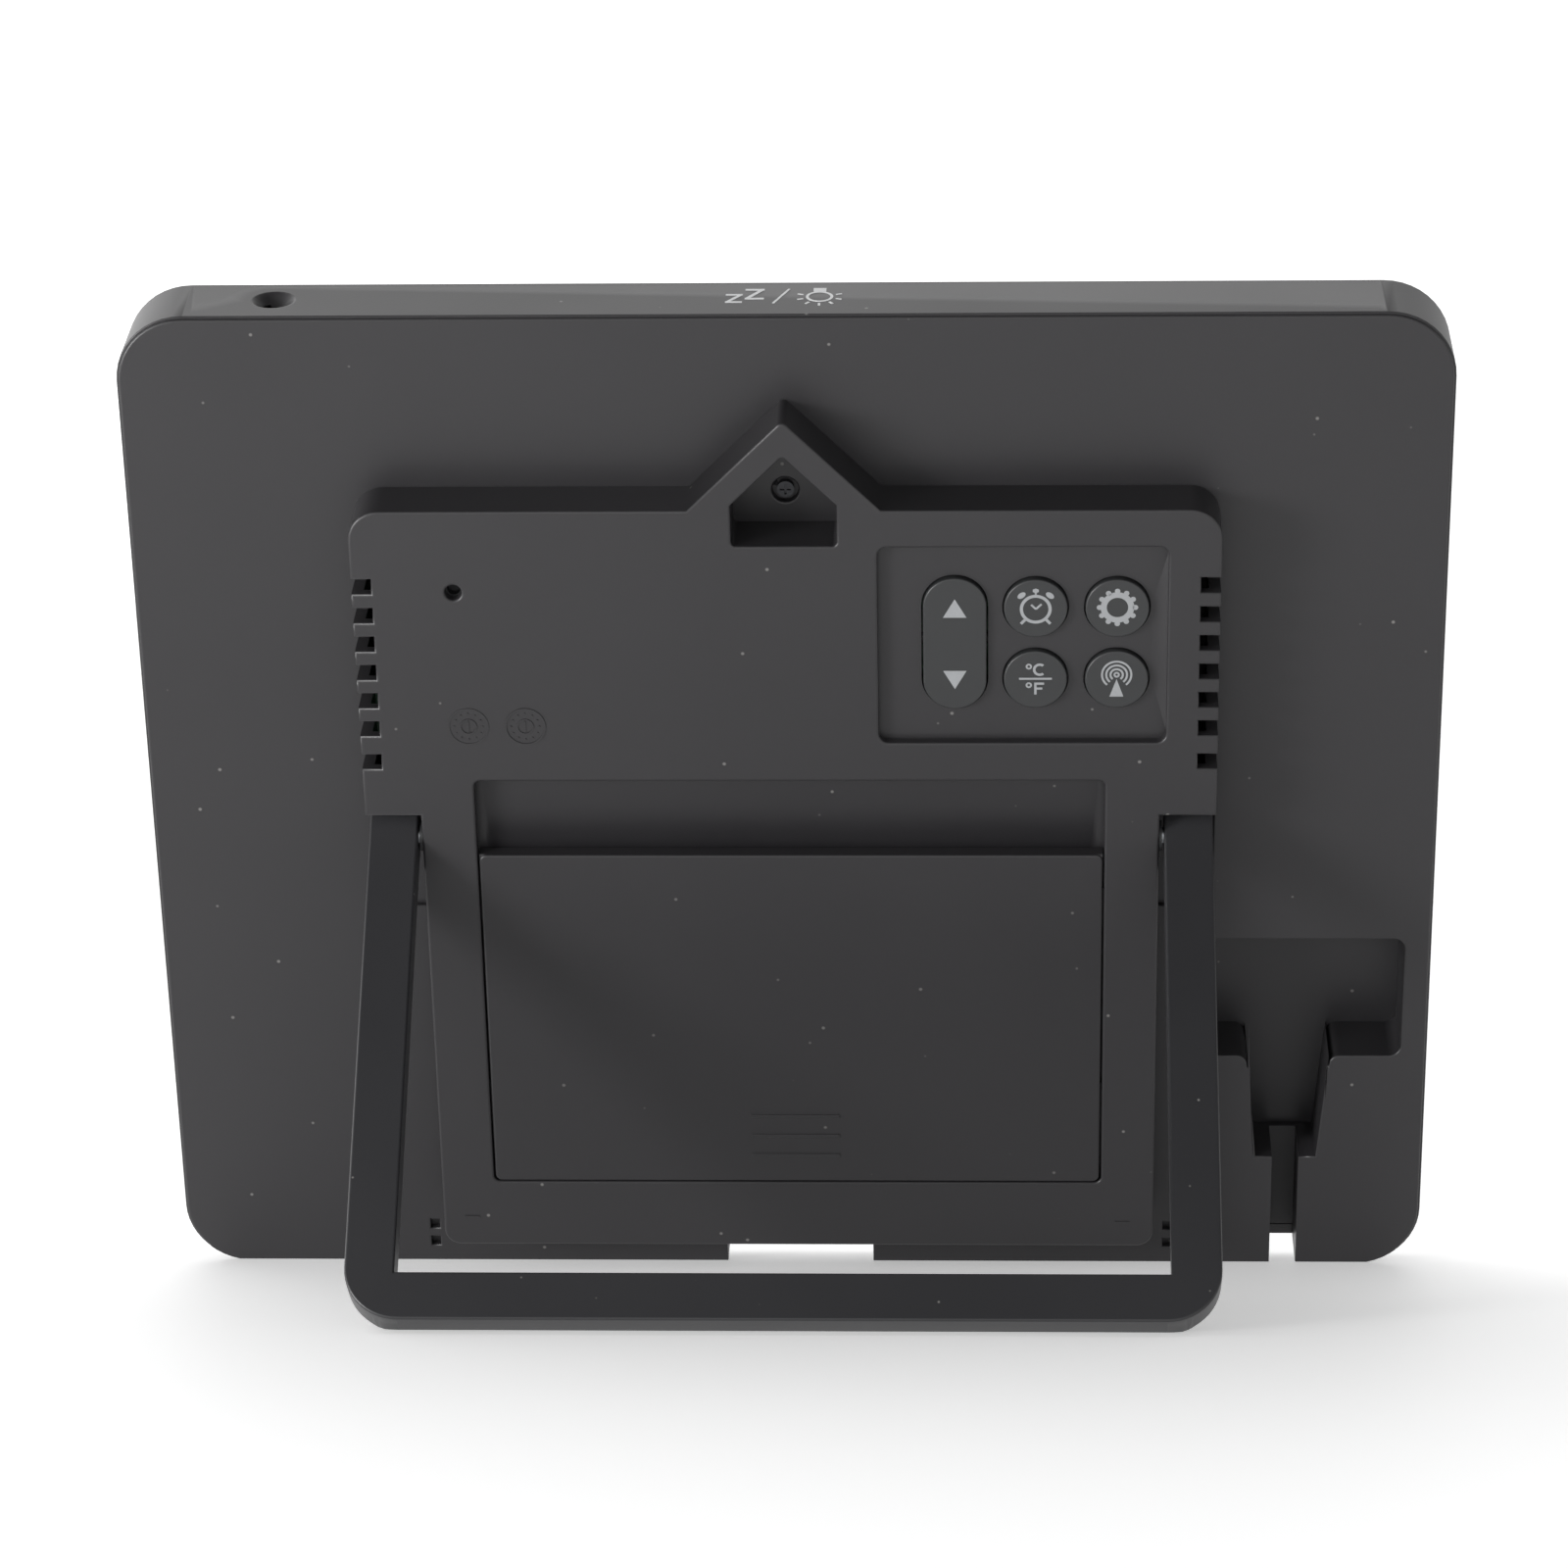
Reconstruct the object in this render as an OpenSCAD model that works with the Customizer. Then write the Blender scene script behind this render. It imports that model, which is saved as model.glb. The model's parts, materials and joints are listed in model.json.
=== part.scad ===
// Digital frame clock on a folding rear stand, standing open and leaning back.
// Every module is drawn in the case's own upright frame: x across, y out of the
// flat back (y = 0 is the back face), z up from the bottom edge. placed() then
// leans it back and sets it down, so +Z is up and the display looks along -Y.

/* [Case] */
// Width of the case
case_w = 230; // [222:1:236]
// Height of the case along its back
case_h = 191; // [188:1:196]
// Thickness of the case without the rear housing
case_t = 16; // [15.8:0.1:18]
// Radius of the case corners
case_r = 12; // [8:0.5:14]
// Wall thickness of the mouldings
wall = 2; // [1.8:0.1:2.2]
// How far the open case leans back, in degrees
lean = 25; // [22:0.5:28]

/* [Rear housing] */
// How far the housing stands out of the flat back
housing_d = 10.6; // [10.2:0.1:11]
// Width of the upper housing
housing_w = 150.4; // [149:0.2:152]
// Width of the housing between the stand's legs
housing_low_w = 130.5; // [130:0.1:131]
// Height of the housing's bottom edge
housing_z0 = 10.8; // [10.6:0.1:11.4]
// Height of the shoulders over the stand's legs
shoulder_z = 100.3; // [100:0.1:101]
// Height of the housing's top edge
housing_z1 = 159.3; // [158:0.1:160]
// Half width of the pointed peak at the top edge
peak_half = 16.7; // [16:0.1:18]

/* [Stand] */
// Angle between the open stand and its folded place
open_angle = 54; // [48:1:58]
// Outer width of the stand
stand_w = 149.4; // [148:0.2:149.6]
// Width of a leg and of the foot bar
leg_w = 8.6; // [8:0.1:8.8]
// Thickness of a leg
leg_t = 6; // [5:0.1:6.2]
// Height of the hinge axis
pivot_z = 94.8; // [94:0.1:95.2]
// Radius of a hinge pin
pin_r = 1.5; // [1.2:0.1:1.8]

/* [Battery door] */
// Width of the door's recess
door_w = 111.2; // [108:0.2:112]
// Height of the door's bottom edge
door_z0 = 24.4; // [22:0.1:25]
// Height of the door's top edge
door_z1 = 92.6; // [90:0.1:93]
// Depth of the recess that the door slides in
door_recess = 3.4; // [3.2:0.1:3.6]
// Radius of one AA cell
cell_r = 7.1; // [6.9:0.05:7.15]
// Length of one AA cell
cell_l = 50; // [49:0.1:50.5]

/* [Keys] */
// Diameter of a round key
key_d = 11; // [10:0.1:11.4]
// How far a key stands out of its recess
key_proud = 1; // [0.8:0.1:1.4]
// Depth of the keys' recess
key_recess = 1.8; // [1.4:0.1:2]

/* [Plug bay] */
// Depth of the bay
bay_d = 12.5; // [12:0.1:12.6]
// Depth of the cable channel below it
channel_d = 11; // [10:0.1:11.5]
// Width of the bay's head
bay_w = 40.7; // [38:0.1:41]
// Width of the cable channel
channel_w = 4.9; // [4.6:0.1:5.4]
// Radius of the socket's opening
jack_r = 2.8; // [2.6:0.05:3]

/* [Hidden] */
$fn = 64;
eps = 0.01;

// Layers of the case, as y of each back and front face
rim_y = -0.6;
plate_y = -wall;
window_y = [-case_t + 0.1, -case_t + 1.1];
lcd_y = [-case_t + 1.15, -case_t + 2.25];
guide_y = [-case_t + 2.35, -case_t + 4.1];
carrier_y = [-case_t + 4.2, -case_t + 5.4];
board_y = [-6, -4.4];

// Main board, from its low corner, with its screws, chip, ribbon and aerial
board_at = [-59, 99.5];
board_size = [128, 51];
board_post_at = [for (x = [-54, 64], z = [104, 146]) [x, z]];
chip_at = [3, 117];
chip_size = [16, 14];
chip_legs = 10;
chip_pitch = 1.27;
ribbon_x = [20, 44];
ribbon_z = [148, 151.2, 170.8];
ribbon_t = 0.2;
rod_at = [-6.3, 176];
rod_r = 3.6;

// Display
window_w = 212;
window_h = 167;
window_z = 95.5;
lcd_w = 194;
lcd_h = 150;
ledge_w = 198;
ledge_h = 154;
post_at = [[-104, 100], [104, 100], [-60, 181], [60, 181], [-50, 9], [50, 9]];
screw_r = 1.1;
head_r = 2.1;
head_h = 1.3;

// Rear housing
skin_y = housing_d - wall;
peak_round = 1.2;
pocket_half = 9.1;
pocket_z = [152.6, 160.2];
top_screw_z = 158.5;
vent_z = [145.05, 139.5, 134, 128.5, 123, 117.5, 111];
vent_size = [3.5, 6, 2.85];
sound_hole = [57.5, 143.9];
detent_x = 68.3;
detent_z = [4.8, 8.5];

// Battery bay and its door
door_z = (door_z0 + door_z1) / 2;
door_h = door_z1 - door_z0;
door_slide = 12;
recess_z1 = door_z1 + door_slide + 2.6;
rib_z = [30.3, 34.45, 38.6];
recess_y = housing_d - door_recess;
door_t = 2;
door_gap = 0.4;
bay_half = 53;
cells_z = [27, 90];
cells_floor = -6.5;
cell_z = [46, 71];
cell_x = 25.4;
cell_y = cells_floor + cell_r + 0.1;
cell_screw_at = [[-45, 32], [45, 32], [-45, 85], [45, 85]];

// Keys
panel_at = [-41.05, 133.5];
panel_size = [50.1, 37.6];
key_floor = housing_d - key_recess;
key_back = key_floor - 1.5;
key_at = [[-43.3, 140.3], [-57.4, 140.3], [-43.3, 126.6], [-57.4, 126.6]];
rocker_at = [-29.3, 133.5];
rocker_l = 25.1;
rocker_axis_y = key_back - 0.5;
key_gap = 0.3;
key_board_y = [-0.2, 1.4];
key_post_at = [[-19.5, 119], [-63.5, 149]];
switch_at = concat(key_at, [for (z = [-6.8, 6.8]) rocker_at + [0, z]]);

// Plug bay
bay_x = -89.8;
bay_z = [45.2, 69.5];
neck_half = [5.5, 7.4];
neck_z = 23.6;
bay_wall = 1.3;
bay_r = 2.1;
jack_y = -7;
jack_l = 11;

// Stand
pivot_y = housing_d - leg_t / 2;
leg_top = 4.2;
foot_r = 9.5;
ground_z = -rim_y * sin(lean) + 0.35;
stand_l = (pivot_z * cos(lean) - pivot_y * sin(lean) + rim_y * sin(lean)
    - leg_t / 2 * sin(open_angle - lean)) / cos(open_angle - lean);
y_low = -case_t * cos(lean);
y_high = pivot_z * sin(lean) + pivot_y * cos(lean) + stand_l * sin(open_angle - lean)
    + leg_t / 2 * cos(open_angle - lean);

// Leans the case's frame back and sets it on the ground, centred over the origin
module placed() {
    translate([0, -(y_low + y_high) / 2, -ground_z]) rotate([-lean, 0, 0]) children();
}

// The same, with whatever would reach below the ground cut to a narrow flat
module grounded() {
    difference() {
        placed() children();
        translate([-case_w, -case_h, -case_h]) cube([2 * case_w, 2 * case_h, case_h]);
    }
}

// Extrudes an x-z outline from y0 to y1
module slab(y0, y1) {
    translate([0, y1, 0]) rotate([90, 0, 0]) linear_extrude(y1 - y0) children();
}

// A cylinder along y from y0 to y1, centred at [x, z]
module peg(at, y0, y1, r) {
    translate([at[0], y1, at[1]]) rotate([90, 0, 0]) cylinder(h = y1 - y0, r = r);
}

// A cylinder along x from x0 to x1, centred at [y, z]
module shaft(x0, x1, at, r) {
    translate([x0, at[0], at[1]]) rotate([0, 90, 0]) cylinder(h = x1 - x0, r = r);
}

// A box from its low corner to its high corner
module block(low, high) {
    translate(low) cube(high - low);
}

// A rounded rectangle around [x, z]
module rounded(size, r, at = [0, 0]) {
    translate(at) {
        square([size[0] - 2 * r, size[1]], center = true);
        square([size[0], size[1] - 2 * r], center = true);
        for (x = [-1, 1], z = [-1, 1])
            translate([x * (size[0] / 2 - r), z * (size[1] / 2 - r)]) circle(r);
    }
}

// The case outline, inset by g
module case_outline(g = 0) {
    rounded([case_w - 2 * g, case_h - 2 * g], case_r - g, [0, case_h / 2]);
}

// The housing outline, inset by g: body, shoulders and pointed peak
module housing_outline(g = 0) {
    low_r = 3 - g;
    top_r = 5.5 - g;
    low_z = [housing_z0 + g, shoulder_z + 2 * low_r];
    rounded([housing_low_w - 2 * g, low_z[1] - low_z[0]], low_r, [0, (low_z[0] + low_z[1]) / 2]);
    rounded([housing_w - 2 * g, housing_z1 - shoulder_z - 2 * g], top_r,
        [0, (housing_z1 + shoulder_z) / 2]);
    translate([-housing_w / 2 + g, shoulder_z + g]) square([housing_w - 2 * g, top_r]);
    peak(housing_z1 - g, peak_half - g * 0.41, peak_round);
}

// A pointed gable that rises from height z0, with a rounded apex
module peak(z0, half, r) {
    tip = z0 + half - r * sqrt(2);
    translate([0, tip]) circle(r);
    cut = r / sqrt(2);
    polygon([[-half, z0 - eps], [half, z0 - eps], [half, z0], [cut, tip + cut], [-cut, tip + cut],
        [-half, z0]]);
}

// The hanging pocket's outline, grown by g
module pocket_outline(g = 0) {
    r = 0.8 + g;
    half = pocket_half + g;
    z0 = pocket_z[0] - g;
    z1 = pocket_z[1] + g * 0.41;
    for (x = [-1, 1]) translate([x * (half - r), z0 + r]) circle(r);
    translate([-half + r, z0]) square([2 * (half - r), r + eps]);
    translate([-half, z0 + r]) square([2 * half, z1 - z0 - r]);
    peak(z1, half, 0.7 + g);
}

// The plug bay's outline, grown by g: head, tapering neck and cable channel
module bay_outline(g = 0) {
    translate([bay_x, 0]) {
        rounded([bay_w + 2 * g, bay_z[1] - bay_z[0] + 2 * g], bay_r + g,
            [0, (bay_z[0] + bay_z[1]) / 2]);
        polygon([[-neck_half[0] - g, neck_z - g], [neck_half[0] + g, neck_z - g],
            [neck_half[1] + g, bay_z[0]], [neck_half[1] + g, bay_z[0] + 4],
            [-neck_half[1] - g, bay_z[0] + 4], [-neck_half[1] - g, bay_z[0]]]);
        for (x = [-1, 1]) translate([x * (neck_half[1] + g), bay_z[0] - g])
            difference() {
                translate([x > 0 ? -eps : -bay_r, -bay_r]) square([bay_r + eps, bay_r + eps]);
                translate([x * bay_r, -bay_r]) circle(bay_r);
            }
    }
}

// A pan-head screw along y: head outwards, its seat at y_seat
module screw(at, y_seat, length) {
    difference() {
        peg(at, y_seat, y_seat + head_h, head_r);
        translate([at[0], y_seat + head_h, at[1]]) {
            cube([2.4, 1, 0.5], center = true);
            cube([0.5, 1, 2.4], center = true);
        }
    }
    peg(at, y_seat - length, y_seat, screw_r);
}

// Front case: side band, bezel, window ledge and screw posts
module front_case() color("#38383a") grounded() difference() {
    slab(-case_t, rim_y) case_outline();
    display_openings();
    // conical light well through the top edge
    translate([87.9, -8, case_h - wall - eps]) cylinder(h = wall + 2 * eps, r1 = 1.6, r2 = 3.7);
    // cable channel and finger notch through the bottom edge
    block([bay_x - channel_w / 2, -channel_d, -1], [bay_x + channel_w / 2, 1, wall + 1]);
    block([-13.6, -7, -1], [13.6, 1, wall + 1]);
}

// What the front case leaves open: window seat, display opening and the room behind
module display_openings() {
    difference() {
        slab(window_y[1] + 1.4, 1) case_outline(wall);
        for (at = post_at) peg(at, -case_t, carrier_y[0], 3);
    }
    for (at = post_at) peg(at, window_y[1] + 0.4, 1, 0.9);
    slab(-case_t - 1, window_y[1]) rounded([window_w, window_h], 6, [0, window_z]);
    slab(window_y[1] - 1, 1) rounded([ledge_w, ledge_h], 4, [0, window_z]);
}

// Clear front window
module display_window() color("#101114") placed()
    slab(window_y[0], window_y[1]) rounded([window_w - 0.3, window_h - 0.3], 5.85, [0, window_z]);

// Liquid crystal glass behind the window
module lcd_glass() color("#8f9a86") placed()
    slab(lcd_y[0], lcd_y[1]) square_at([lcd_w, lcd_h], window_z);

// A rectangle centred at height z
module square_at(size, z) {
    translate([0, z]) square(size, center = true);
}

// Light guide behind the glass, cut away around the plug bay
module backlight_guide() color("#e9eef2") placed() slab(guide_y[0], guide_y[1]) difference() {
    square_at([lcd_w, lcd_h], window_z);
    bay_cutout();
}

// The corner of the display stack that the plug bay takes
module bay_cutout() {
    translate([-case_w / 2, 0]) square([48, 87]);
}

// Carrier plate that clamps the display and takes the screws of the back cover
module display_carrier() color("#2b2c2e") placed() difference() {
    union() {
        slab(carrier_y[0], carrier_y[1]) difference() {
            rounded([215, 182], 6, [0, case_h / 2]);
            bay_cutout();
            square_at([32, 24], 10);
        }
        for (at = cell_screw_at) peg(at, carrier_y[1], cells_floor - 1.6, 3);
        peg([0, top_screw_z], carrier_y[1], -9, 3);
        for (at = board_post_at) peg(at, carrier_y[1], board_y[0], 2.6);
    }
    for (at = concat(cell_screw_at, [[0, top_screw_z]], board_post_at))
        peg(at, carrier_y[0] - 1, 1, screw_r);
    for (at = post_at) peg(at, carrier_y[0] - 1, 1, screw_r + 0.1);
    block([ribbon_x[0] - 1, carrier_y[0] - 1, ribbon_z[2] - 1.2],
        [ribbon_x[1] + 1, 1, ribbon_z[2] + 0.6]);
}

// Screws that hold the carrier to the front case
module carrier_screws() color("silver") placed()
    for (at = post_at) screw(at, carrier_y[1], carrier_y[1] - carrier_y[0] - 0.1);

// Back cover: flat plate, raised housing, battery bay, key recess and plug bay
module back_cover() color("#333335") grounded() difference() {
    union() {
        slab(rim_y, 0) case_outline(0.4);
        slab(plate_y, rim_y) case_outline(wall + 0.2);
        slab(plate_y, housing_d) housing_outline();
        // battery bay tub
        block([-bay_half - 1.5, cells_floor - 1.5, cells_z[0] - 1.5],
            [bay_half + 1.5, 0, cells_z[1] + 1.5]);
        // plug bay and channel tubs
        slab(-bay_d - 1, 0) bay_outline(bay_wall);
        block([bay_x - channel_w / 2 - bay_wall, -channel_d - 1, wall + 0.2],
            [bay_x + channel_w / 2 + bay_wall, 0, neck_z]);
        // finger notch tub
        block([-15.1, -8.5, wall + 0.2], [15.1, 0, housing_z0 - 0.2]);
        peg([0, top_screw_z], -9 + eps, 0, 3.3);
    }
    difference() {
        slab(plate_y - 1, skin_y) housing_outline(wall);
        housing_fittings();
    }
    door_recess_cut();
    slab(0, housing_d + 1) pocket_outline();
    peg([0, top_screw_z], -1.5, 1, 2.3);
    peg([0, top_screw_z], -10, 1, screw_r + 0.1);
    for (at = cell_screw_at) peg(at, cells_floor - 2, cells_floor + eps, screw_r + 0.1);
    vents();
    peg(sound_hole, skin_y - 1, housing_d + 1, 1.45);
    key_openings();
    slab(-bay_d, 1) bay_outline();
    block([bay_x - channel_w / 2, -channel_d, -1], [bay_x + channel_w / 2, 1, neck_z + 1]);
    peg_down([bay_x, jack_y], bay_z[1] - 1, bay_z[1] + bay_wall + 1, 3.4);
    block([-13.6, -7, -1], [13.6, 1, 9]);
    for (x = [-detent_x, detent_x], z = detent_z)
        block([x - 0.85, -1.4, z - 0.95], [x + 0.85, 1, z + 0.95]);
    // sunk floor beside the hinges, where the leg ends swing
    for (x = [-1, 1]) block([x > 0 ? housing_low_w / 2 : -stand_w / 2 - 0.5, -1, 76.5],
        [x > 0 ? stand_w / 2 + 0.5 : -housing_low_w / 2, 1, shoulder_z]);
    hinge_bores(pin_r);
}

// A cylinder along z, centred at [x, y]
module peg_down(at, z0, z1, r) {
    translate([at[0], at[1], z0]) cylinder(h = z1 - z0, r = r);
}

// What stays solid inside the housing's cavity
module housing_fittings() {
    // battery bay walls and the floor that the door slides over
    block([-bay_half - 1.5, -10, cells_z[0] - 1.5], [bay_half + 1.5, 20, cells_z[1] + 1.5]);
    block([-door_w / 2 - 3.4, recess_y - 1.5, door_z0 - 2], [door_w / 2 + 3.4, 20, recess_z1 + 1.5]);
    // hanging pocket, with the plate as its floor
    slab(plate_y - 2, 20) pocket_outline(1.5);
    // keys' recess, its posts and the rocker's bearings
    slab(key_back, 20) rounded(panel_size + [3, 3], 3, panel_at);
    for (at = key_post_at) peg(at, key_board_y[1], 20, 2.2);
    for (x = [-1, 1]) {
        ear = rocker_at[0] + x * (key_d / 2 + 1.9);
        block([ear - 0.9, rocker_axis_y - 2, rocker_at[1] - 2], [ear + 0.9, 20, rocker_at[1] + 2]);
        // hinge bosses beside the stand's legs
        block([x > 0 ? 58 : -64, pivot_y - 3.6, pivot_z - 4], [x > 0 ? 64 : -58, 20, pivot_z + 4]);
    }
    // finger notch tub behind the bottom wall
    block([-15.1, -10, 0], [15.1, 0, housing_z0 + wall]);
}

// The stand's two pin bores, right through each boss
module hinge_bores(r) {
    for (x = [-1, 1])
        shaft(x > 0 ? 59 : -housing_low_w / 2 - 1, x > 0 ? housing_low_w / 2 + 1 : -59,
            [pivot_y, pivot_z], r);
}

// The recess that the battery door lies and slides in, the bay below and the side grooves
module door_recess_cut() {
    slab(recess_y, housing_d + 1) rounded([door_w, recess_z1 - door_z0], 1.2,
        [0, (recess_z1 + door_z0) / 2]);
    block([-door_w / 2 - 1.4, recess_y, door_z0 + 6], [door_w / 2 + 1.4, 9, recess_z1 - 1]);
    block([-bay_half, cells_floor, cells_z[0]], [bay_half, recess_y + 1, cells_z[1]]);
}

// Air slots around both upper edges of the housing
module vents() {
    for (x = [-1, 1], z = vent_z)
        translate([x * (housing_w - vent_size[0] + 1) / 2, housing_d - (vent_size[1] - 1) / 2, z])
            cube(vent_size + [1, 1, 0], center = true);
}

// The keys' recess and the holes for the keys, with the rocker's bearing bores
module key_openings() {
    slab(key_floor, housing_d + 1) rounded(panel_size, 1.7, panel_at);
    for (at = key_at) peg(at, key_back - 1, housing_d, key_d / 2 + key_gap);
    slab(key_back - 1, housing_d)
        rounded([key_d + 2 * key_gap, rocker_l + 2 * key_gap], key_d / 2 + key_gap - eps, rocker_at);
    shaft(rocker_at[0] - key_d / 2 - 3, rocker_at[0] + key_d / 2 + 3,
        [rocker_axis_y, rocker_at[1]], 1.05);
    for (at = key_post_at) peg(at, key_board_y[1] - 1, key_board_y[1] + 4, screw_r);
}

// Screws from the back cover into the carrier: one in the hanging pocket, four in the battery bay
module case_screws() color("#3a3b3e") placed() {
    difference() {
        peg([0, top_screw_z], -1.5, -0.3, 1.5);
        translate([0, -0.3, top_screw_z]) cube([1.9, 0.8, 0.4], center = true);
        translate([0, -0.3, top_screw_z]) cube([0.4, 0.8, 1.9], center = true);
    }
    peg([0, top_screw_z], -10, -1.5, screw_r);
    for (at = cell_screw_at) screw(at, cells_floor, 3.4);
}

// Folding stand: two legs and a foot bar in one moulding, drawn folded and then opened
module stand() color("#2f3033") grounded() opened() difference() {
    slab(pivot_y - leg_t / 2, pivot_y + leg_t / 2) stand_outline();
    for (x = [-1, 1]) shaft(x > 0 ? stand_w / 2 - leg_w - 1 : -stand_w / 2 + 1.6,
        x > 0 ? stand_w / 2 - 1.6 : -stand_w / 2 + leg_w + 1, [pivot_y, pivot_z], pin_r + 0.05);
}

// Swings what is drawn folded out to the open position
module opened() {
    translate([0, pivot_y, pivot_z]) rotate([open_angle, 0, 0]) translate([0, -pivot_y, -pivot_z])
        children();
}

// The U of the stand as it lies folded
module stand_outline() {
    z0 = pivot_z - stand_l;
    z1 = pivot_z + leg_top;
    difference() {
        union() {
            translate([-stand_w / 2, z0 + foot_r]) square([stand_w, z1 - z0 - foot_r]);
            translate([-stand_w / 2 + foot_r, z0]) square([stand_w - 2 * foot_r, foot_r + eps]);
            for (x = [-1, 1]) translate([x * (stand_w / 2 - foot_r), z0 + foot_r]) circle(foot_r);
        }
        translate([-stand_w / 2 + leg_w, z0 + leg_w]) square([stand_w - 2 * leg_w, stand_l + leg_w]);
    }
}

// One steel hinge pin, pressed into the housing's boss
module hinge_pin(side) {
    near = 59;
    far = stand_w / 2 - 2;
    shaft(side > 0 ? near : -far, side > 0 ? far : -near, [pivot_y, pivot_z], pin_r);
}

module left_hinge_pin() color("silver") placed() hinge_pin(1);

module right_hinge_pin() color("silver") placed() hinge_pin(-1);

// Nylon washers between the legs and the housing
module hinge_washers() color("#232426") placed() for (x = [-1, 1]) {
    near = housing_low_w / 2;
    far = near + 0.5;
    difference() {
        shaft(x > 0 ? near : -far, x > 0 ? far : -near, [pivot_y, pivot_z], 2.7);
        shaft(x > 0 ? near - 1 : -far - 1, x > 0 ? far + 1 : -near + 1, [pivot_y, pivot_z],
            pin_r + 0.02);
    }
}

// Battery door: plate, top and side rails, side tongues and grip ribs
module battery_door() color("#303032") placed() {
    w = door_w - 0.6;
    under = recess_y + door_gap;
    slab(housing_d - door_t, housing_d) rounded([w, door_h - 0.5], 1.2, [0, door_z]);
    block([-w / 2 + 0.5, under, door_z1 - 2.25], [w / 2 - 0.5, housing_d - 0.5, door_z1 - 0.25]);
    for (x = [-1, 1]) {
        block([x > 0 ? w / 2 - 1.5 : -w / 2, under, door_z0 + 3],
            [x > 0 ? w / 2 : -w / 2 + 1.5, housing_d - 0.5, door_z1 - 0.25]);
        for (z = [door_z0 + 12, door_z1 - 16]) block([x > 0 ? w / 2 - 1 : -w / 2 - 1, under, z],
            [x > 0 ? w / 2 + 1 : -w / 2 + 1, housing_d - door_t - 0.1, z + 8]);
    }
    for (z = rib_z) block([-8, housing_d - 0.5, z - 0.35], [8, housing_d + 0.3, z + 0.35]);
}

// One AA cell along x with its positive cap towards dir
module cell(x, z, dir) {
    shaft(x - cell_l / 2 + (dir < 0 ? 1.2 : 0), x + cell_l / 2 - (dir > 0 ? 1.2 : 0),
        [cell_y, z], cell_r);
    shaft(dir > 0 ? x + cell_l / 2 - 1.2 : x - cell_l / 2,
        dir > 0 ? x + cell_l / 2 : x - cell_l / 2 + 1.2, [cell_y, z], 2.7);
}

module cell_1() color("#8a8f96") placed() cell(-cell_x, cell_z[1], -1);

module cell_2() color("#8a8f96") placed() cell(cell_x, cell_z[1], -1);

module cell_3() color("#8a8f96") placed() cell(-cell_x, cell_z[0], 1);

module cell_4() color("#8a8f96") placed() cell(cell_x, cell_z[0], 1);

// Negative springs, one at the end of each row of cells, as stacked conical turns
module cell_springs() color("silver") placed() for (row = [[1, cell_z[1]], [-1, cell_z[0]]]) {
    tip = cell_x + cell_l / 2;
    for (turn = [0 : 2]) shaft(row[0] > 0 ? tip + turn * 0.6 : -tip - turn * 0.6 - 0.6,
        row[0] > 0 ? tip + turn * 0.6 + 0.6 : -tip - turn * 0.6, [cell_y, row[1]], 3 + turn * 0.8);
}

// Contact plates at both ends of the battery bay
module cell_contacts() color("#c9cbd0") placed() {
    t = 0.4;
    for (row = [[1, cell_z[1]], [-1, cell_z[0]]])
        block([row[0] > 0 ? bay_half - t : -bay_half, cells_floor, row[1] - 5.5],
            [row[0] > 0 ? bay_half : -bay_half + t, cells_floor + 13, row[1] + 5.5]);
    for (row = [[-1, cell_z[1]], [1, cell_z[0]]]) {
        near = cell_x + cell_l / 2;
        block([row[0] > 0 ? near : -bay_half, cells_floor, row[1] - 5.5],
            [row[0] > 0 ? bay_half : -near, cells_floor + 13, row[1] + 5.5]);
    }
}

// Two leads from the battery bay up to the main board
module battery_leads() color("#a02c28") placed() for (x = [48, 50.5]) {
    peg_down([x, cells_floor - 2.4], 88, 101, 0.6);
    peg([x, 101], cells_floor - 3, board_y[0], 0.6);
}

// A round key with a flange that keeps it in its hole
module round_key(at) {
    peg(at, key_back - 2, key_floor + key_proud, key_d / 2);
    peg(at, key_back - 1.5, key_back - key_gap, key_d / 2 + 0.8);
}

module alarm_key() color("#2c2d2f") placed() round_key(key_at[0]);

module settings_key() color("#2c2d2f") placed() round_key(key_at[1]);

module unit_key() color("#2c2d2f") placed() round_key(key_at[2]);

module signal_key() color("#2c2d2f") placed() round_key(key_at[3]);

// Rocker with an up end and a down end, on two moulded trunnions
module up_down_key() color("#2c2d2f") placed() {
    slab(key_back - 1.7, key_floor + key_proud) rounded([key_d, rocker_l], key_d / 2 - eps, rocker_at);
    shaft(rocker_at[0] - key_d / 2 - 2.6, rocker_at[0] + key_d / 2 + 2.6,
        [rocker_axis_y, rocker_at[1]], 1);
}

// Board behind the keys
module key_board() color("#1f5a36") placed() difference() {
    slab(key_board_y[0], key_board_y[1]) rounded([49.4, 36], 1, panel_at);
    for (at = key_post_at) peg(at, key_board_y[0] - 1, key_board_y[1] + 1, screw_r + 0.05);
}

// Screws that hold the key board to its posts
module key_board_screws() color("silver") placed() for (at = key_post_at) {
    peg(at, key_board_y[0] - 1.2, key_board_y[0], 2);
    peg(at, key_board_y[0], key_board_y[1] + 3.5, screw_r);
}

// Tact switches under the keys, each with its plunger
module key_switches() color("#b9bcc0") placed() for (at = switch_at) {
    block([at[0] - 3, key_board_y[1], at[1] - 3], [at[0] + 3, key_board_y[1] + 2, at[1] + 3]);
    peg(at, key_board_y[1] + 2, key_board_y[1] + 2.7, 1.7);
}

// Main board with its mounting holes
module main_board() color("#1f5a36") placed() difference() {
    slab(board_y[0], board_y[1]) translate(board_at) square(board_size);
    for (at = board_post_at) peg(at, board_y[0] - 1, board_y[1] + 1, screw_r + 0.1);
}

module main_board_screws() color("silver") placed()
    for (at = board_post_at) screw(at, board_y[1], 4.5);

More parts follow.
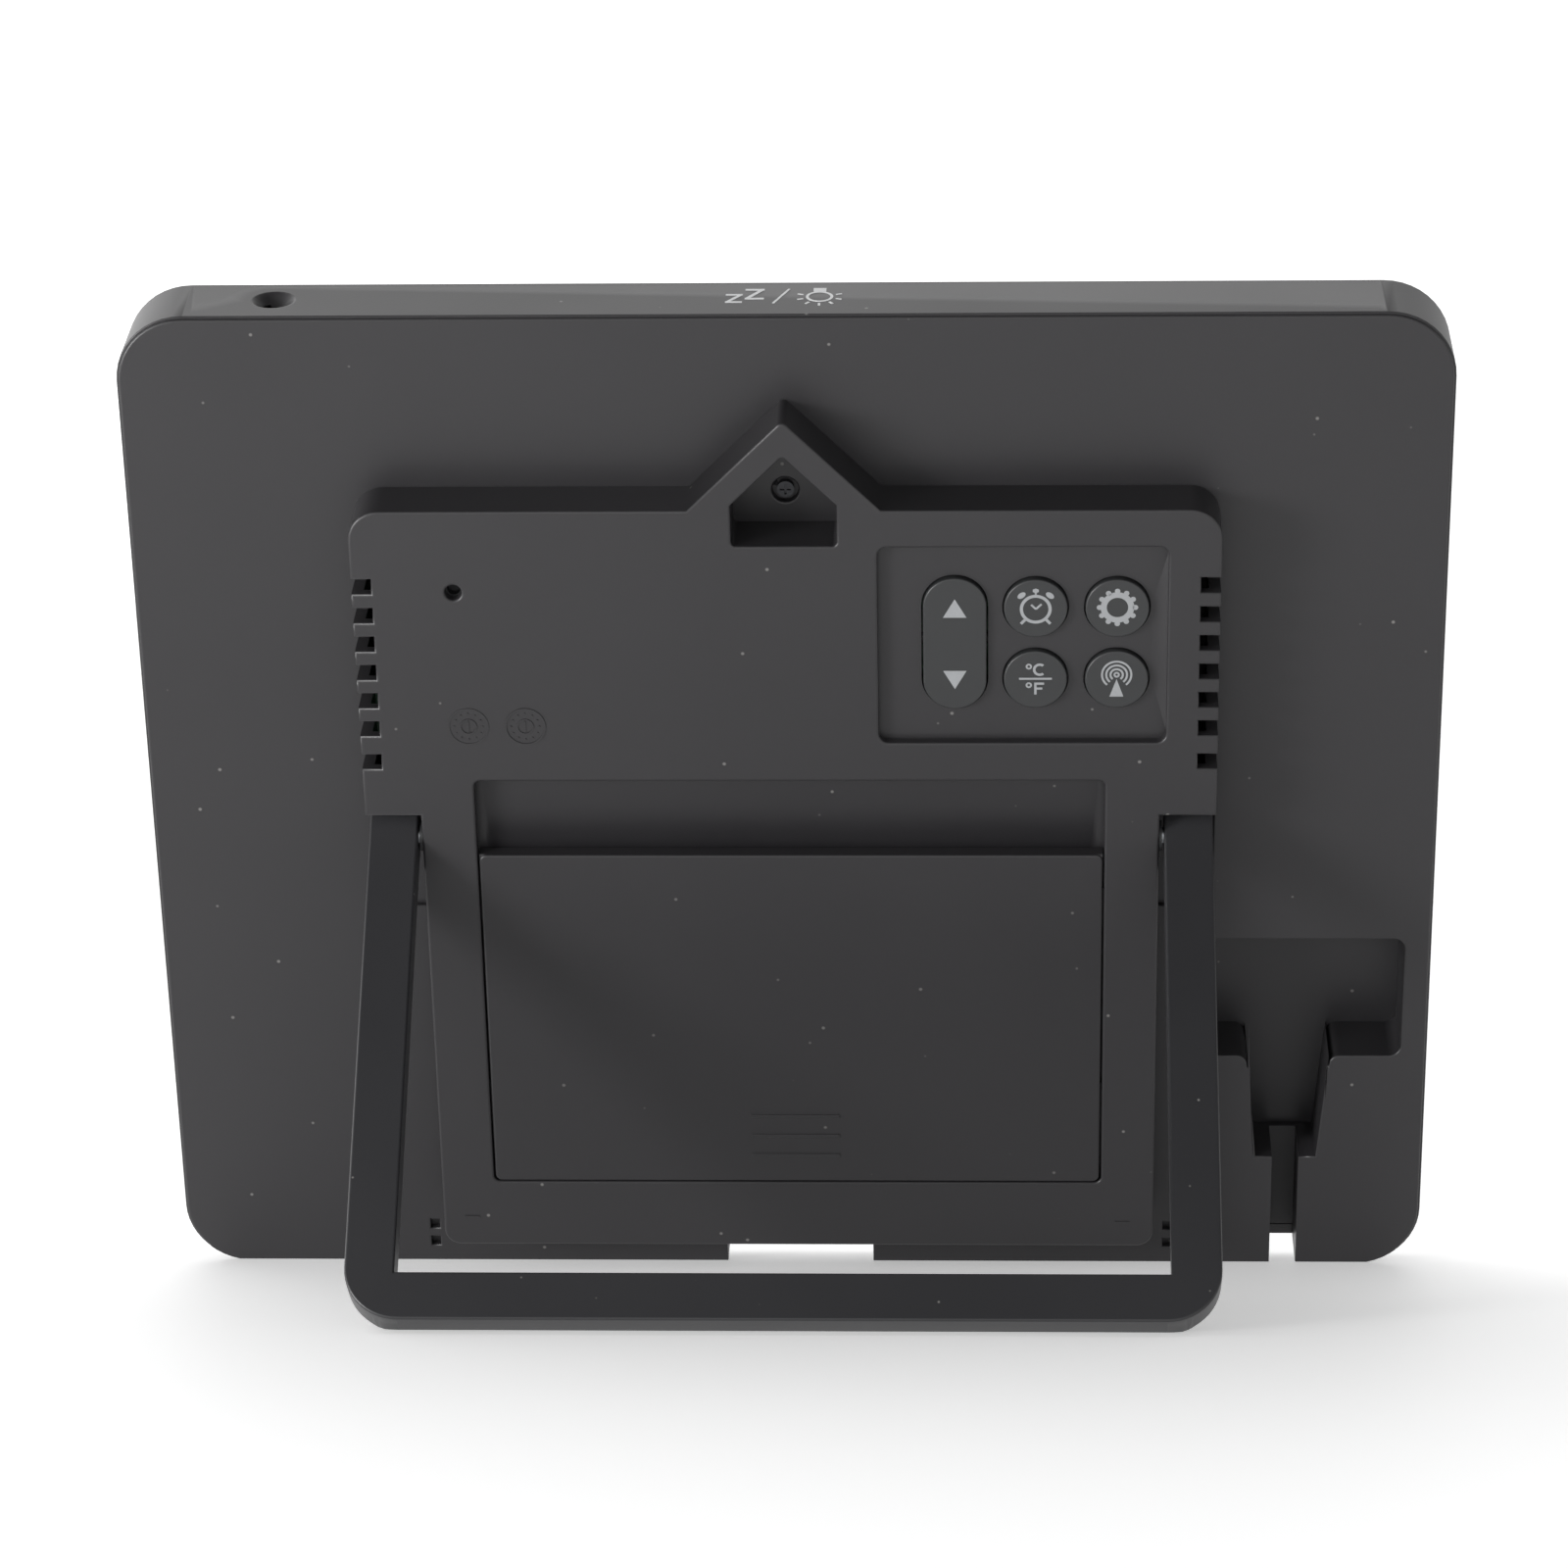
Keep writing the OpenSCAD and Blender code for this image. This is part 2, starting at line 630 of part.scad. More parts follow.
// Moulded controller chip with its two rows of legs
module main_chip() color("#1b1c1e") placed() {
    block([chip_at[0], board_y[1] + 0.3, chip_at[1]],
        [chip_at[0] + chip_size[0], board_y[1] + 1.6, chip_at[1] + chip_size[1]]);
    for (i = [0 : chip_legs - 1], x = [chip_at[0] - 1.4, chip_at[0] + chip_size[0]]) {
        z = chip_at[1] + 1 + i * chip_pitch;
        block([x, board_y[1], z], [x + 1.4, board_y[1] + 0.6, z + 0.5]);
    }
}

module clock_crystal() color("silver") placed() {
    y = board_y[1] + 1.1;
    peg_down([-12, y], 120, 126, 1.1);
    for (x = [-12.4, -11.6]) peg_down([x, y - 0.4], 118.5, 120, 0.2);
}

// Socket on the main board for the display ribbon
module ribbon_socket() color("#e6e3d8") placed()
    block([ribbon_x[0] - 0.5, board_y[1], ribbon_z[0] - 4.5],
        [ribbon_x[1] + 0.5, board_y[1] + 2.2, ribbon_z[0]]);

// Flat ribbon from the display glass through the carrier to the main board
module display_ribbon() color("#c98a3c") placed() {
    near = ribbon_x[0];
    far = ribbon_x[1];
    back = carrier_y[1] + 0.15;
    top = ribbon_z[2];
    bend = ribbon_z[1];
    end_y = board_y[1] + 1.1;
    block([near, lcd_y[0] + 0.3, top - ribbon_t], [far, back + ribbon_t, top]);
    block([near, back, bend], [far, back + ribbon_t, top]);
    block([near, back, bend], [far, end_y + ribbon_t, bend + ribbon_t]);
    block([near, end_y, ribbon_z[0]], [far, end_y + ribbon_t, bend + ribbon_t]);
}

// Power socket above the bay: insulating body with a round opening and a centre pin
module power_jack() color("#17181a") placed() {
    z0 = bay_z[1] + bay_wall;
    difference() {
        union() {
            block([bay_x - 4.5, jack_y - 4.5, z0], [bay_x + 4.5, jack_y + 4.5, z0 + jack_l]);
            peg_down([bay_x, jack_y], bay_z[1], z0 + eps, 3.35);
        }
        peg_down([bay_x, jack_y], bay_z[1] - 1, z0 + jack_l - 1.5, jack_r);
    }
    peg_down([bay_x, jack_y], z0 + 4, z0 + jack_l - 1, 1);
}

// Ferrite rod of the time-signal aerial
module antenna_rod() color("#3c3b3d") placed() shaft(18, 78, rod_at, rod_r);

// Its winding
module antenna_coil() color("#b5651d") placed() difference() {
    shaft(38, 56, rod_at, rod_r + 0.5);
    shaft(37, 57, rod_at, rod_r + eps);
}

// Saddles that hold the rod on the carrier
module antenna_clips() color("#dcdcd4") placed() for (x = [24, 68]) difference() {
    block([x, carrier_y[1], rod_at[1] - 5.2], [x + 4, rod_at[0], rod_at[1] + 5.2]);
    shaft(x - 1, x + 5, rod_at, rod_r + eps);
}

// Piezo buzzer behind the sound hole
module buzzer() color("#1a1a1c") placed() difference() {
    peg(sound_hole, skin_y - 4, skin_y, 8);
    peg(sound_hole, skin_y - 1.5, skin_y + 1, 1.2);
}

// Temperature sensor beside the air slots
module thermistor_board() color("#1f5a36") placed()
    block([64, 1, 111], [housing_w / 2 - wall, 2.2, 123]);

module thermistor_bead() color("#2a2623") placed() {
    translate([67.5, 3.6, 117]) sphere(1.2);
    for (x = [67, 68]) peg([x, 117], 2.2, 3.6, 0.25);
}

// Light sensor under the conical well of the top edge
module light_sensor() color("#d8dade") placed() {
    peg_down([87.9, -8], case_h - wall - 3.4, case_h - wall - 0.3, 1.5);
    block([84.9, -10.6, case_h - wall - 4.6], [90.9, -5.4, case_h - wall - 3.4]);
}

// Touch electrode under the snooze symbol of the top edge
module snooze_pad() color("#c77b3f") placed()
    block([-30, -11, case_h - wall - 0.4], [30, -4, case_h - wall]);

front_case();
display_window();
lcd_glass();
backlight_guide();
display_carrier();
carrier_screws();
back_cover();
case_screws();
stand();
left_hinge_pin();
right_hinge_pin();
hinge_washers();
battery_door();
cell_1();
cell_2();
cell_3();
cell_4();
cell_springs();
cell_contacts();
battery_leads();
alarm_key();
settings_key();
unit_key();
signal_key();
up_down_key();
key_board();
key_board_screws();
key_switches();
main_board();
main_board_screws();
main_chip();
clock_crystal();
ribbon_socket();
display_ribbon();
power_jack();
antenna_rod();
antenna_coil();
antenna_clips();
buzzer();
thermistor_board();
thermistor_bead();
light_sensor();
snooze_pad();
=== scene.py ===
"""Looks of a digital frame clock on its folding rear stand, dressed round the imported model."""

import json
import logging
import math
from contextlib import contextmanager
from dataclasses import dataclass, field
from enum import Enum
from typing import Callable, Iterator, Sequence

import bmesh
import bpy
from mathutils import Matrix, Vector


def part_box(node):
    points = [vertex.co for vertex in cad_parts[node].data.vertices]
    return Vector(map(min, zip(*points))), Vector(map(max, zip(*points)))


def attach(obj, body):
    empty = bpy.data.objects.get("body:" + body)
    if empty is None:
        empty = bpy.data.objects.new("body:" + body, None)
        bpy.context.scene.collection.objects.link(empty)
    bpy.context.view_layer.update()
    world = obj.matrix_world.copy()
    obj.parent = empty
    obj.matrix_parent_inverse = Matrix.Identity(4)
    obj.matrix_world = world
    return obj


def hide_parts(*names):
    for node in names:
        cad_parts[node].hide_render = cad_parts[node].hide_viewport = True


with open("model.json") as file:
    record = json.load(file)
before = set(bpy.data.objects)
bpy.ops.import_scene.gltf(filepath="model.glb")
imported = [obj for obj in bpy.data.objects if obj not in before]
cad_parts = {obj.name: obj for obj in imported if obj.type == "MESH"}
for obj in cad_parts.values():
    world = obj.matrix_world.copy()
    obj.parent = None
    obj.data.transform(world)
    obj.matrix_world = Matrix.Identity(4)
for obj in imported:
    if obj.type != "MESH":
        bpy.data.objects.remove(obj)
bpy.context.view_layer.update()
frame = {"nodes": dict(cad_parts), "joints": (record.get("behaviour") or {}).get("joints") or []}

LOG = logging.getLogger("frame_clock")
MM = 0.001
Point = tuple[float, float]
Tree = bpy.types.NodeTree
Socket = bpy.types.NodeSocket
Shader = bpy.types.Node


# ---------------------------------------------------------------- places


@dataclass(frozen=True)
class CaseFrame:
    """The case's upright frame in millimetres: x across, y out of the back, z up from the bottom edge.

    Its lean comes from the direction that the battery door slides in, and its place from the front
    case's box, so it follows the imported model.
    """

    thickness: float = 16.0
    height: float = 191.0

    @property
    def lean(self) -> float:
        """How far the case leans back, in radians."""
        slide = next(j for j in frame["joints"] if j["name"] == "door_slide")
        return math.atan2(slide["axis"][1], slide["axis"][2])

    @property
    def matrix(self) -> Matrix:
        """The matrix from this frame to the model's frame in metres."""
        low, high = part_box("front_case")
        back = low[1] + self.thickness * MM * math.cos(self.lean)
        rise = self.thickness * math.sin(self.lean) + self.height * math.cos(self.lean)
        base = high[2] - rise * MM
        turn = Matrix.Rotation(-self.lean, 4, "X")
        return Matrix.Translation((0.0, back, base)) @ turn @ Matrix.Scale(MM, 4)

    def opened(self, angle: float, pivot: Vector) -> Matrix:
        """The matrix for a piece drawn folded in this frame that swings about the stand's pins.

        Args:
            angle: Opening angle in degrees.
            pivot: A point on the hinge axis in the model's frame, in metres.

        Returns:
            The matrix that takes the folded piece to its open place in metres.
        """
        swing = Matrix.Rotation(math.radians(angle), 4, "X")
        return Matrix.Translation(pivot) @ swing @ Matrix.Translation(-pivot) @ self.matrix


@dataclass(frozen=True)
class Layers:
    """Heights of the case's main surfaces in the case frame, in millimetres."""

    front: float = -16.0
    rim: float = -0.6
    plate: float = 0.0
    housing: float = 10.6
    glass_front: float = -14.85
    key_top: float = 9.8


CASE = CaseFrame()
LAYER = Layers()


# ---------------------------------------------------------------- bench


def deselect() -> None:
    """Clears the selection, because an operator acts on all that is selected."""
    bpy.ops.object.select_all(action="DESELECT")


def activate(piece: bpy.types.Object) -> bpy.types.Object:
    """Selects one object alone and makes it the active one."""
    deselect()
    piece.select_set(True)
    bpy.context.view_layer.objects.active = piece
    return piece


@contextmanager
def editing(piece: bpy.types.Object, mode: str = "FACE") -> Iterator[None]:
    """Opens a piece in edit mode with everything deselected, and closes it again.

    Args:
        piece: The mesh object to edit.
        mode: The select mode, VERT, EDGE or FACE.
    """
    activate(piece)
    bpy.ops.object.mode_set(mode="EDIT")
    bpy.ops.mesh.select_mode(type=mode)
    bpy.ops.mesh.select_all(action="DESELECT")
    try:
        yield
    finally:
        bpy.ops.object.mode_set(mode="OBJECT")


def pick(piece: bpy.types.Object, kind: str, test: Callable[..., bool]) -> int:
    """Selects the verts, edges or faces of a piece in edit mode that pass a test.

    Args:
        piece: The object in edit mode.
        kind: "verts", "edges" or "faces".
        test: Called with each element.

    Returns:
        How many were selected.
    """
    mesh = bmesh.from_edit_mesh(piece.data)
    chosen = [element for element in getattr(mesh, kind) if test(element)]
    for element in chosen:
        element.select = True
    mesh.select_flush_mode()
    bmesh.update_edit_mesh(piece.data)
    return len(chosen)


def modify(piece: bpy.types.Object, kind: str, **settings: object) -> None:
    """Adds a modifier with its settings and applies it."""
    activate(piece)
    modifier = piece.modifiers.new(kind.title(), kind)
    for name, value in settings.items():
        setattr(modifier, name, value)
    bpy.ops.object.modifier_apply(modifier=modifier.name)


def smooth(piece: bpy.types.Object, angle: float = 35.0) -> None:
    """Shades a piece smooth across edges flatter than an angle, with flat faces kept flat."""
    activate(piece)
    bpy.ops.object.shade_smooth_by_angle(angle=math.radians(angle))
    modify(piece, "WEIGHTED_NORMAL", keep_sharp=True)


def joined(name: str, pieces: Sequence[bpy.types.Object]) -> bpy.types.Object:
    """Joins pieces into one object with one mesh."""
    deselect()
    for piece in pieces:
        piece.select_set(True)
    bpy.context.view_layer.objects.active = pieces[0]
    if len(pieces) > 1:
        bpy.ops.object.join()
    whole = bpy.context.view_layer.objects.active
    whole.name = name
    whole.data.name = name
    return whole


def baked(piece: bpy.types.Object) -> bpy.types.Object:
    """Applies an object's place, turn and scale to its mesh."""
    activate(piece)
    bpy.ops.object.transform_apply(location=True, rotation=True, scale=True)
    return piece


def settle(
    piece: bpy.types.Object,
    finish: "Finish",
    body: str = "case",
    stands_for: Sequence[str] = (),
    matrix: Matrix | None = None,
) -> bpy.types.Object:
    """Takes a piece from the case frame to its place in the model, dresses it and lets it ride.

    Args:
        piece: The finished mesh, in millimetres in the case frame.
        finish: What it is made of.
        body: The body that it rides on.
        stands_for: CAD nodes that it replaces.
        matrix: Its own matrix to metres, where it isn't the case's.

    Returns:
        The same object, at the origin with its place in its mesh.
    """
    piece.matrix_world = (matrix or CASE.matrix) @ piece.matrix_world
    baked(piece)
    piece.data.materials.clear()
    piece.data.materials.append(finish.material())
    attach(piece, body)
    if stands_for:
        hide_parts(*stands_for)
    LOG.info("%s: %d faces on %s", piece.name, len(piece.data.polygons), body)
    return piece


# ---------------------------------------------------------------- finishes


def linear(code: str) -> tuple[float, float, float, float]:
    """Turns an sRGB hex colour into a linear one with full alpha."""
    channels = (int(code[i : i + 2], 16) / 255 for i in (1, 3, 5))
    return (*(c / 12.92 if c <= 0.04045 else ((c + 0.055) / 1.055) ** 2.4 for c in channels), 1.0)


def add(tree: Tree, kind: str, inputs: dict[str | int, object] | None = None, **settings: object) -> Shader:
    """Adds a node with its settings, and sets or links its inputs.

    Args:
        tree: The node tree.
        kind: The node's type without its ShaderNode prefix.
        inputs: Input names or numbers, each with a value or an output socket to link.
        settings: Attributes of the node.

    Returns:
        The new node.
    """
    node = tree.nodes.new(f"ShaderNode{kind}")
    for name, value in settings.items():
        setattr(node, name, value)
    for key, value in (inputs or {}).items():
        if isinstance(value, Socket):
            tree.links.new(value, node.inputs[key])
        else:
            node.inputs[key].default_value = value
    return node


def blend(tree: Tree, factor: Socket, low: object, high: object) -> Socket:
    """Mixes two colours, each a value or a socket, by a factor socket."""
    return add(tree, "Mix", {"Factor": factor, 6: low, 7: high}, data_type="RGBA").outputs[2]


def dimmed(code: str, share: float) -> list[float]:
    """A linear colour from its hex code, scaled by a share."""
    return [c * share for c in linear(code)[:3]] + [1.0]


@dataclass(frozen=True)
class Finish:
    """A material and how its surface was made."""

    name: str
    colour: str
    roughness: float = 0.5
    ior: float = 1.5

    def material(self) -> bpy.types.Material:
        """Returns the Blender material, building it the first time."""
        known = bpy.data.materials.get(self.name)
        if known:
            return known
        made = bpy.data.materials.new(self.name)
        made.use_nodes = True
        tree = made.node_tree
        tree.nodes.clear()
        place = add(tree, "TexCoord").outputs["Object"]
        shader = add(tree, "BsdfPrincipled", {"IOR": self.ior})
        self.dress(tree, place, shader)
        add(tree, "OutputMaterial", {"Surface": shader.outputs[0]})
        made.diffuse_color = linear(self.colour)
        return made

    def dress(self, tree: Tree, place: Socket, shader: Shader) -> None:
        """Fills in the shader, each kind of finish in its own way.

        Args:
            tree: The material's node tree.
            place: Object coordinates, in metres.
            shader: The Principled shader to fill in.
        """
        raise NotImplementedError


@dataclass(frozen=True)
class MouldedPlastic(Finish):
    """Injection-moulded plastic: an eroded tool leaves a fine grain, and handling leaves specks of dust."""

    grain_mm: float = 0.35
    grain_depth_mm: float = 0.012
    mottle: float = 0.12
    drift_per_m: float = 14.0
    gloss_drift: Point = (-0.03, 0.04)
    dust: float = 0.0
    dust_mm: float = 7.0
    dust_colour: str = "#8d8b88"
    speck_rim: Point = (0.03, 0.055)

    def dress(self, tree: Tree, place: Socket, shader: Shader) -> None:
        """Fine grain as bump, a slow drift of tone, scattered dust and uneven gloss."""
        drift = add(
            tree, "TexNoise", {"Vector": place, "Scale": self.drift_per_m, "Detail": 3.0, "Roughness": 0.55}
        )
        low, high = dimmed(self.colour, 1 - self.mottle), dimmed(self.colour, 1 + self.mottle)
        colour = blend(tree, drift.outputs[0], low, high)
        if self.dust:
            cell = add(tree, "TexVoronoi", {"Vector": place, "Scale": 1 / (self.dust_mm * MM)})
            inner, outer = self.speck_rim
            fade = {1: inner, 2: outer, 3: self.dust, 4: 0.0}
            speck = add(tree, "MapRange", {"Value": cell.outputs["Distance"], **fade})
            colour = blend(tree, speck.outputs[0], colour, linear(self.dust_colour))
        grain = add(
            tree, "TexNoise", {"Vector": place, "Scale": 1 / (self.grain_mm * MM), "Detail": 2.0}
        )
        bump = add(tree, "Bump", {"Height": grain.outputs[0], "Distance": self.grain_depth_mm * MM})
        least, most = (self.roughness + change for change in self.gloss_drift)
        sheen = add(tree, "MapRange", {"Value": drift.outputs[0], 1: 0.3, 2: 0.7, 3: least, 4: most})
        tree.links.new(colour, shader.inputs["Base Color"])
        tree.links.new(sheen.outputs[0], shader.inputs["Roughness"])
        tree.links.new(bump.outputs[0], shader.inputs["Normal"])


@dataclass(frozen=True)
class PrintedInk(Finish):
    """Pad-printed ink: thin, slightly uneven cover over the plastic."""

    cover: float = 0.1
    flecks_per_m: float = 1800.0
    lift_mm: float = 0.004

    def dress(self, tree: Tree, place: Socket, shader: Shader) -> None:
        """Even colour with a little mottling where the ink lies thin."""
        thin = add(tree, "TexNoise", {"Vector": place, "Scale": self.flecks_per_m, "Detail": 3.0})
        tone = blend(tree, thin.outputs[0], dimmed(self.colour, 1 - self.cover), linear(self.colour))
        bump = add(tree, "Bump", {"Height": thin.outputs[0], "Distance": self.lift_mm * MM})
        tree.links.new(tone, shader.inputs["Base Color"])
        tree.links.new(bump.outputs[0], shader.inputs["Normal"])
        shader.inputs["Roughness"].default_value = self.roughness


@dataclass(frozen=True)
class PlainMetal(Finish):
    """Drawn, stamped or plated metal with fine lines along one axis."""

    metallic: float = 1.0
    line_mm: float = 0.12
    line_depth_mm: float = 0.003
    along: Point = (1.0, 40.0)
    tarnish_per_m: float = 160.0
    tarnished: float = 0.72
    gloss_drift: Point = (-0.06, 0.08)

    def dress(self, tree: Tree, place: Socket, shader: Shader) -> None:
        """Fine drawn lines in the gloss and a faint tarnish in the colour."""
        length, width = self.along
        stretch = add(tree, "Mapping", {"Vector": place, "Scale": (length, width, width)})
        lines_per_m = 0.03 / (self.line_mm * MM)
        lines = add(tree, "TexNoise", {"Vector": stretch.outputs[0], "Scale": lines_per_m, "Detail": 2.0})
        tarnish = add(tree, "TexNoise", {"Vector": place, "Scale": self.tarnish_per_m, "Detail": 4.0})
        tone = blend(tree, tarnish.outputs[0], dimmed(self.colour, self.tarnished), linear(self.colour))
        least, most = (self.roughness + change for change in self.gloss_drift)
        gloss = add(tree, "MapRange", {"Value": lines.outputs[0], 1: 0.3, 2: 0.7, 3: least, 4: most})
        bump = add(tree, "Bump", {"Height": lines.outputs[0], "Distance": self.line_depth_mm * MM})
        shader.inputs["Metallic"].default_value = self.metallic
        tree.links.new(tone, shader.inputs["Base Color"])
        tree.links.new(gloss.outputs[0], shader.inputs["Roughness"])
        tree.links.new(bump.outputs[0], shader.inputs["Normal"])


@dataclass(frozen=True)
class ClearPlastic(Finish):
    """Polished clear sheet or cast clear plastic."""

    transmission: float = 1.0
    polish_per_m: float = 60.0
    haze: float = 0.03

    def dress(self, tree: Tree, place: Socket, shader: Shader) -> None:
        """Clear body with a hint of unevenness in its polish."""
        polish = add(tree, "TexNoise", {"Vector": place, "Scale": self.polish_per_m, "Detail": 2.0})
        least, most = self.roughness, self.roughness + self.haze
        gloss = add(tree, "MapRange", {"Value": polish.outputs[0], 3: least, 4: most})
        shader.inputs["Base Color"].default_value = linear(self.colour)
        shader.inputs["Transmission Weight"].default_value = self.transmission
        tree.links.new(gloss.outputs[0], shader.inputs["Roughness"])


@dataclass(frozen=True)
class CircuitBoard(Finish):
    """Glass-fibre board under solder mask, with buried tracks that lift the mask."""

    track: str = "#3f8a58"
    tracks_per_m: float = 90.0
    track_share: float = 0.035
    track_mm: float = 0.03
    weave_per_m: float = 900.0

    def dress(self, tree: Tree, place: Socket, shader: Shader) -> None:
        """Tracks show lighter through the mask and stand slightly proud."""
        mask = linear(self.colour)
        grid = {"Scale": self.tracks_per_m, "Mortar Size": self.track_share}
        wires = add(tree, "TexBrick", {"Vector": place, **grid, 1: mask, 2: mask, 3: linear(self.track)})
        weave = add(tree, "TexNoise", {"Vector": place, "Scale": self.weave_per_m, "Detail": 2.0})
        tone = blend(tree, weave.outputs[0], wires.outputs[0], mask)
        bump = add(tree, "Bump", {"Height": wires.outputs[1], "Distance": self.track_mm * MM})
        tree.links.new(tone, shader.inputs["Base Color"])
        tree.links.new(bump.outputs[0], shader.inputs["Normal"])
        shader.inputs["Roughness"].default_value = self.roughness


@dataclass(frozen=True)
class CellSleeve(Finish):
    """Shrink sleeve of a dry cell: a dark body and a copper-coloured band at one end."""

    band: str = "#b8752f"
    band_mm: float = 14.0
    band_edge_mm: float = 0.1
    wrinkles_per_m: float = 400.0
    wrinkle_mm: float = 0.01
    metallic: float = 0.6

    def dress(self, tree: Tree, place: Socket, shader: Shader) -> None:
        """The band covers the end of each cell that lies towards the middle of the bay."""
        across = add(tree, "SeparateXYZ", {"Vector": place}).outputs[0]
        off = add(tree, "Math", {0: across}, operation="ABSOLUTE")
        start, stop = self.band_mm * MM, (self.band_mm + self.band_edge_mm) * MM
        edge = add(tree, "MapRange", {"Value": off.outputs[0], 1: start, 2: stop, 3: 1.0, 4: 0.0})
        tone = blend(tree, edge.outputs[0], linear(self.colour), linear(self.band))
        film = add(tree, "TexNoise", {"Vector": place, "Scale": self.wrinkles_per_m, "Detail": 2.0})
        bump = add(tree, "Bump", {"Height": film.outputs[0], "Distance": self.wrinkle_mm * MM})
        tree.links.new(tone, shader.inputs["Base Color"])
        tree.links.new(bump.outputs[0], shader.inputs["Normal"])
        shader.inputs["Roughness"].default_value = self.roughness
        shader.inputs["Metallic"].default_value = self.metallic


@dataclass(frozen=True)
class LightTable(Finish):
    """Opal acrylic sheet lit from below."""

    glow: float = 0.4
    cloudy: float = 0.98
    clouds_per_m: float = 3.0

    def dress(self, tree: Tree, place: Socket, shader: Shader) -> None:
        """Even glow under a matt white surface with a trace of cloudiness."""
        cloud = add(tree, "TexNoise", {"Vector": place, "Scale": self.clouds_per_m, "Detail": 2.0})
        tone = blend(tree, cloud.outputs[0], dimmed(self.colour, self.cloudy), linear(self.colour))
        tree.links.new(tone, shader.inputs["Base Color"])
        shader.inputs["Roughness"].default_value = self.roughness
        shader.inputs["Emission Color"].default_value = linear(self.colour)
        shader.inputs["Emission Strength"].default_value = self.glow


class Dress(Enum):
    """The finishes of the clock, each named for what it is and how it was made."""

    # black ABS from a spark-eroded tool: matt and slightly warm, with a few specks of dust
    CASE = MouldedPlastic("case_black_abs_eroded", "#252426", 0.42, dust=0.5)
    # the same plastic from a finer tool: a touch darker and tighter in grain
    DOOR = MouldedPlastic("door_black_abs_eroded", "#232224", 0.4, grain_mm=0.3, dust=0.35)
    # stiff filled nylon: cooler, glossier and more handled, so it shows more dust
    STAND = MouldedPlastic(
        "stand_filled_nylon_satin", "#29292b", 0.36, grain_mm=0.5, grain_depth_mm=0.01, dust=0.6, dust_mm=5.0
    )
    # smooth satin caps, rubbed by fingertips
    KEY = MouldedPlastic("key_black_abs_satin", "#2a2b2c", 0.4, grain_mm=0.2, grain_depth_mm=0.006)
    # unseen inner moulding: flat, even black
    CARRIER = MouldedPlastic("carrier_black_abs_matt", "#2b2c2e", 0.55)
    # moulded nylon: waxy black without shine
    NYLON = MouldedPlastic("black_nylon_moulded", "#202123", 0.5, mottle=0.05)
    # glass-filled socket plastic: dense, nearly black
    SOCKET = MouldedPlastic("socket_black_pbt_moulded", "#17181a", 0.45)
    # transfer-moulded epoxy: dull grey-black with very fine grain
    CHIP = MouldedPlastic("chip_epoxy_moulded", "#1b1c1e", 0.6, grain_mm=0.15)
    # extruded PVC sleeve: plain red with a soft sheen
    LEAD = MouldedPlastic("lead_pvc_extruded", "#a02c28", 0.4)
    # pressed and sintered ferrite: rough charcoal
    FERRITE = MouldedPlastic("ferrite_sintered", "#3c3b3d", 0.6, grain_mm=0.2, grain_depth_mm=0.02)
    # polyimide film: glossy amber
    RIBBON = MouldedPlastic("ribbon_polyimide_film", "#c98a3c", 0.25, grain_mm=1.0, grain_depth_mm=0.002)
    # glass over a grey-green reflector: smooth, pale and slightly pearly
    GLASS = MouldedPlastic("display_glass_reflective", "#a3ab9c", 0.22, grain_mm=0.25, grain_depth_mm=0.001)
    # pad-printed ink on the keys: dull light grey, darkened as painted shade of the back face that the keys
    # sit on
    INK = PrintedInk("pale_grey_pad_print", "#929496", 0.5)
    # the same ink on the top edge, made lighter as painted light where the upward-facing top edge catches the
    # light
    EDGE_INK = PrintedInk("light_grey_pad_print", "#d8d9da", 0.5)
    # screen-printed border: deep, even black
    BORDER_INK = PrintedInk("black_screen_print", "#0b0b0d", 0.35)
    # liquid crystal switched on: soft charcoal
    SEGMENT = PrintedInk("liquid_crystal_dark", "#16181a", 0.5, cover=0.03, lift_mm=0.0003)
    # zinc-plated steel: bright with fine drawn lines
    STEEL = PlainMetal("steel_zinc_plated", "#b9bcc0", 0.3)
    # black-oxide steel: dark with a low metallic glint
    SCREW = PlainMetal("screw_black_oxide", "#4a4b4e", 0.5, metallic=0.55)
    # nickel-plated spring steel: the brightest metal here
    NICKEL = PlainMetal("spring_steel_nickel_plated", "#c9cbd0", 0.25)
    # enamelled copper: warm and glossy
    COPPER = PlainMetal("copper_enamelled", "#b5651d", 0.32, line_mm=0.2)
    # polished acrylic window: clear with a trace of haze
    WINDOW = ClearPlastic("window_acrylic_polished", "#ffffff", 0.02, ior=1.49)
    # clear cast epoxy of the sensor
    SENSOR = ClearPlastic("sensor_epoxy_clear", "#e8eaec", 0.08)
    # frosted acrylic that spreads light: milky
    GUIDE = ClearPlastic("guide_acrylic_frosted", "#eef3f6", 0.35, transmission=0.4)
    # green solder mask over copper tracks
    BOARD = CircuitBoard("circuit_board_green_mask", "#1f5a36", 0.3)
    # printed foil sleeve: dark body and copper-coloured band
    CELL = CellSleeve("cell_sleeve_printed", "#2a2b2e", 0.3)


# ---------------------------------------------------------------- flat symbols


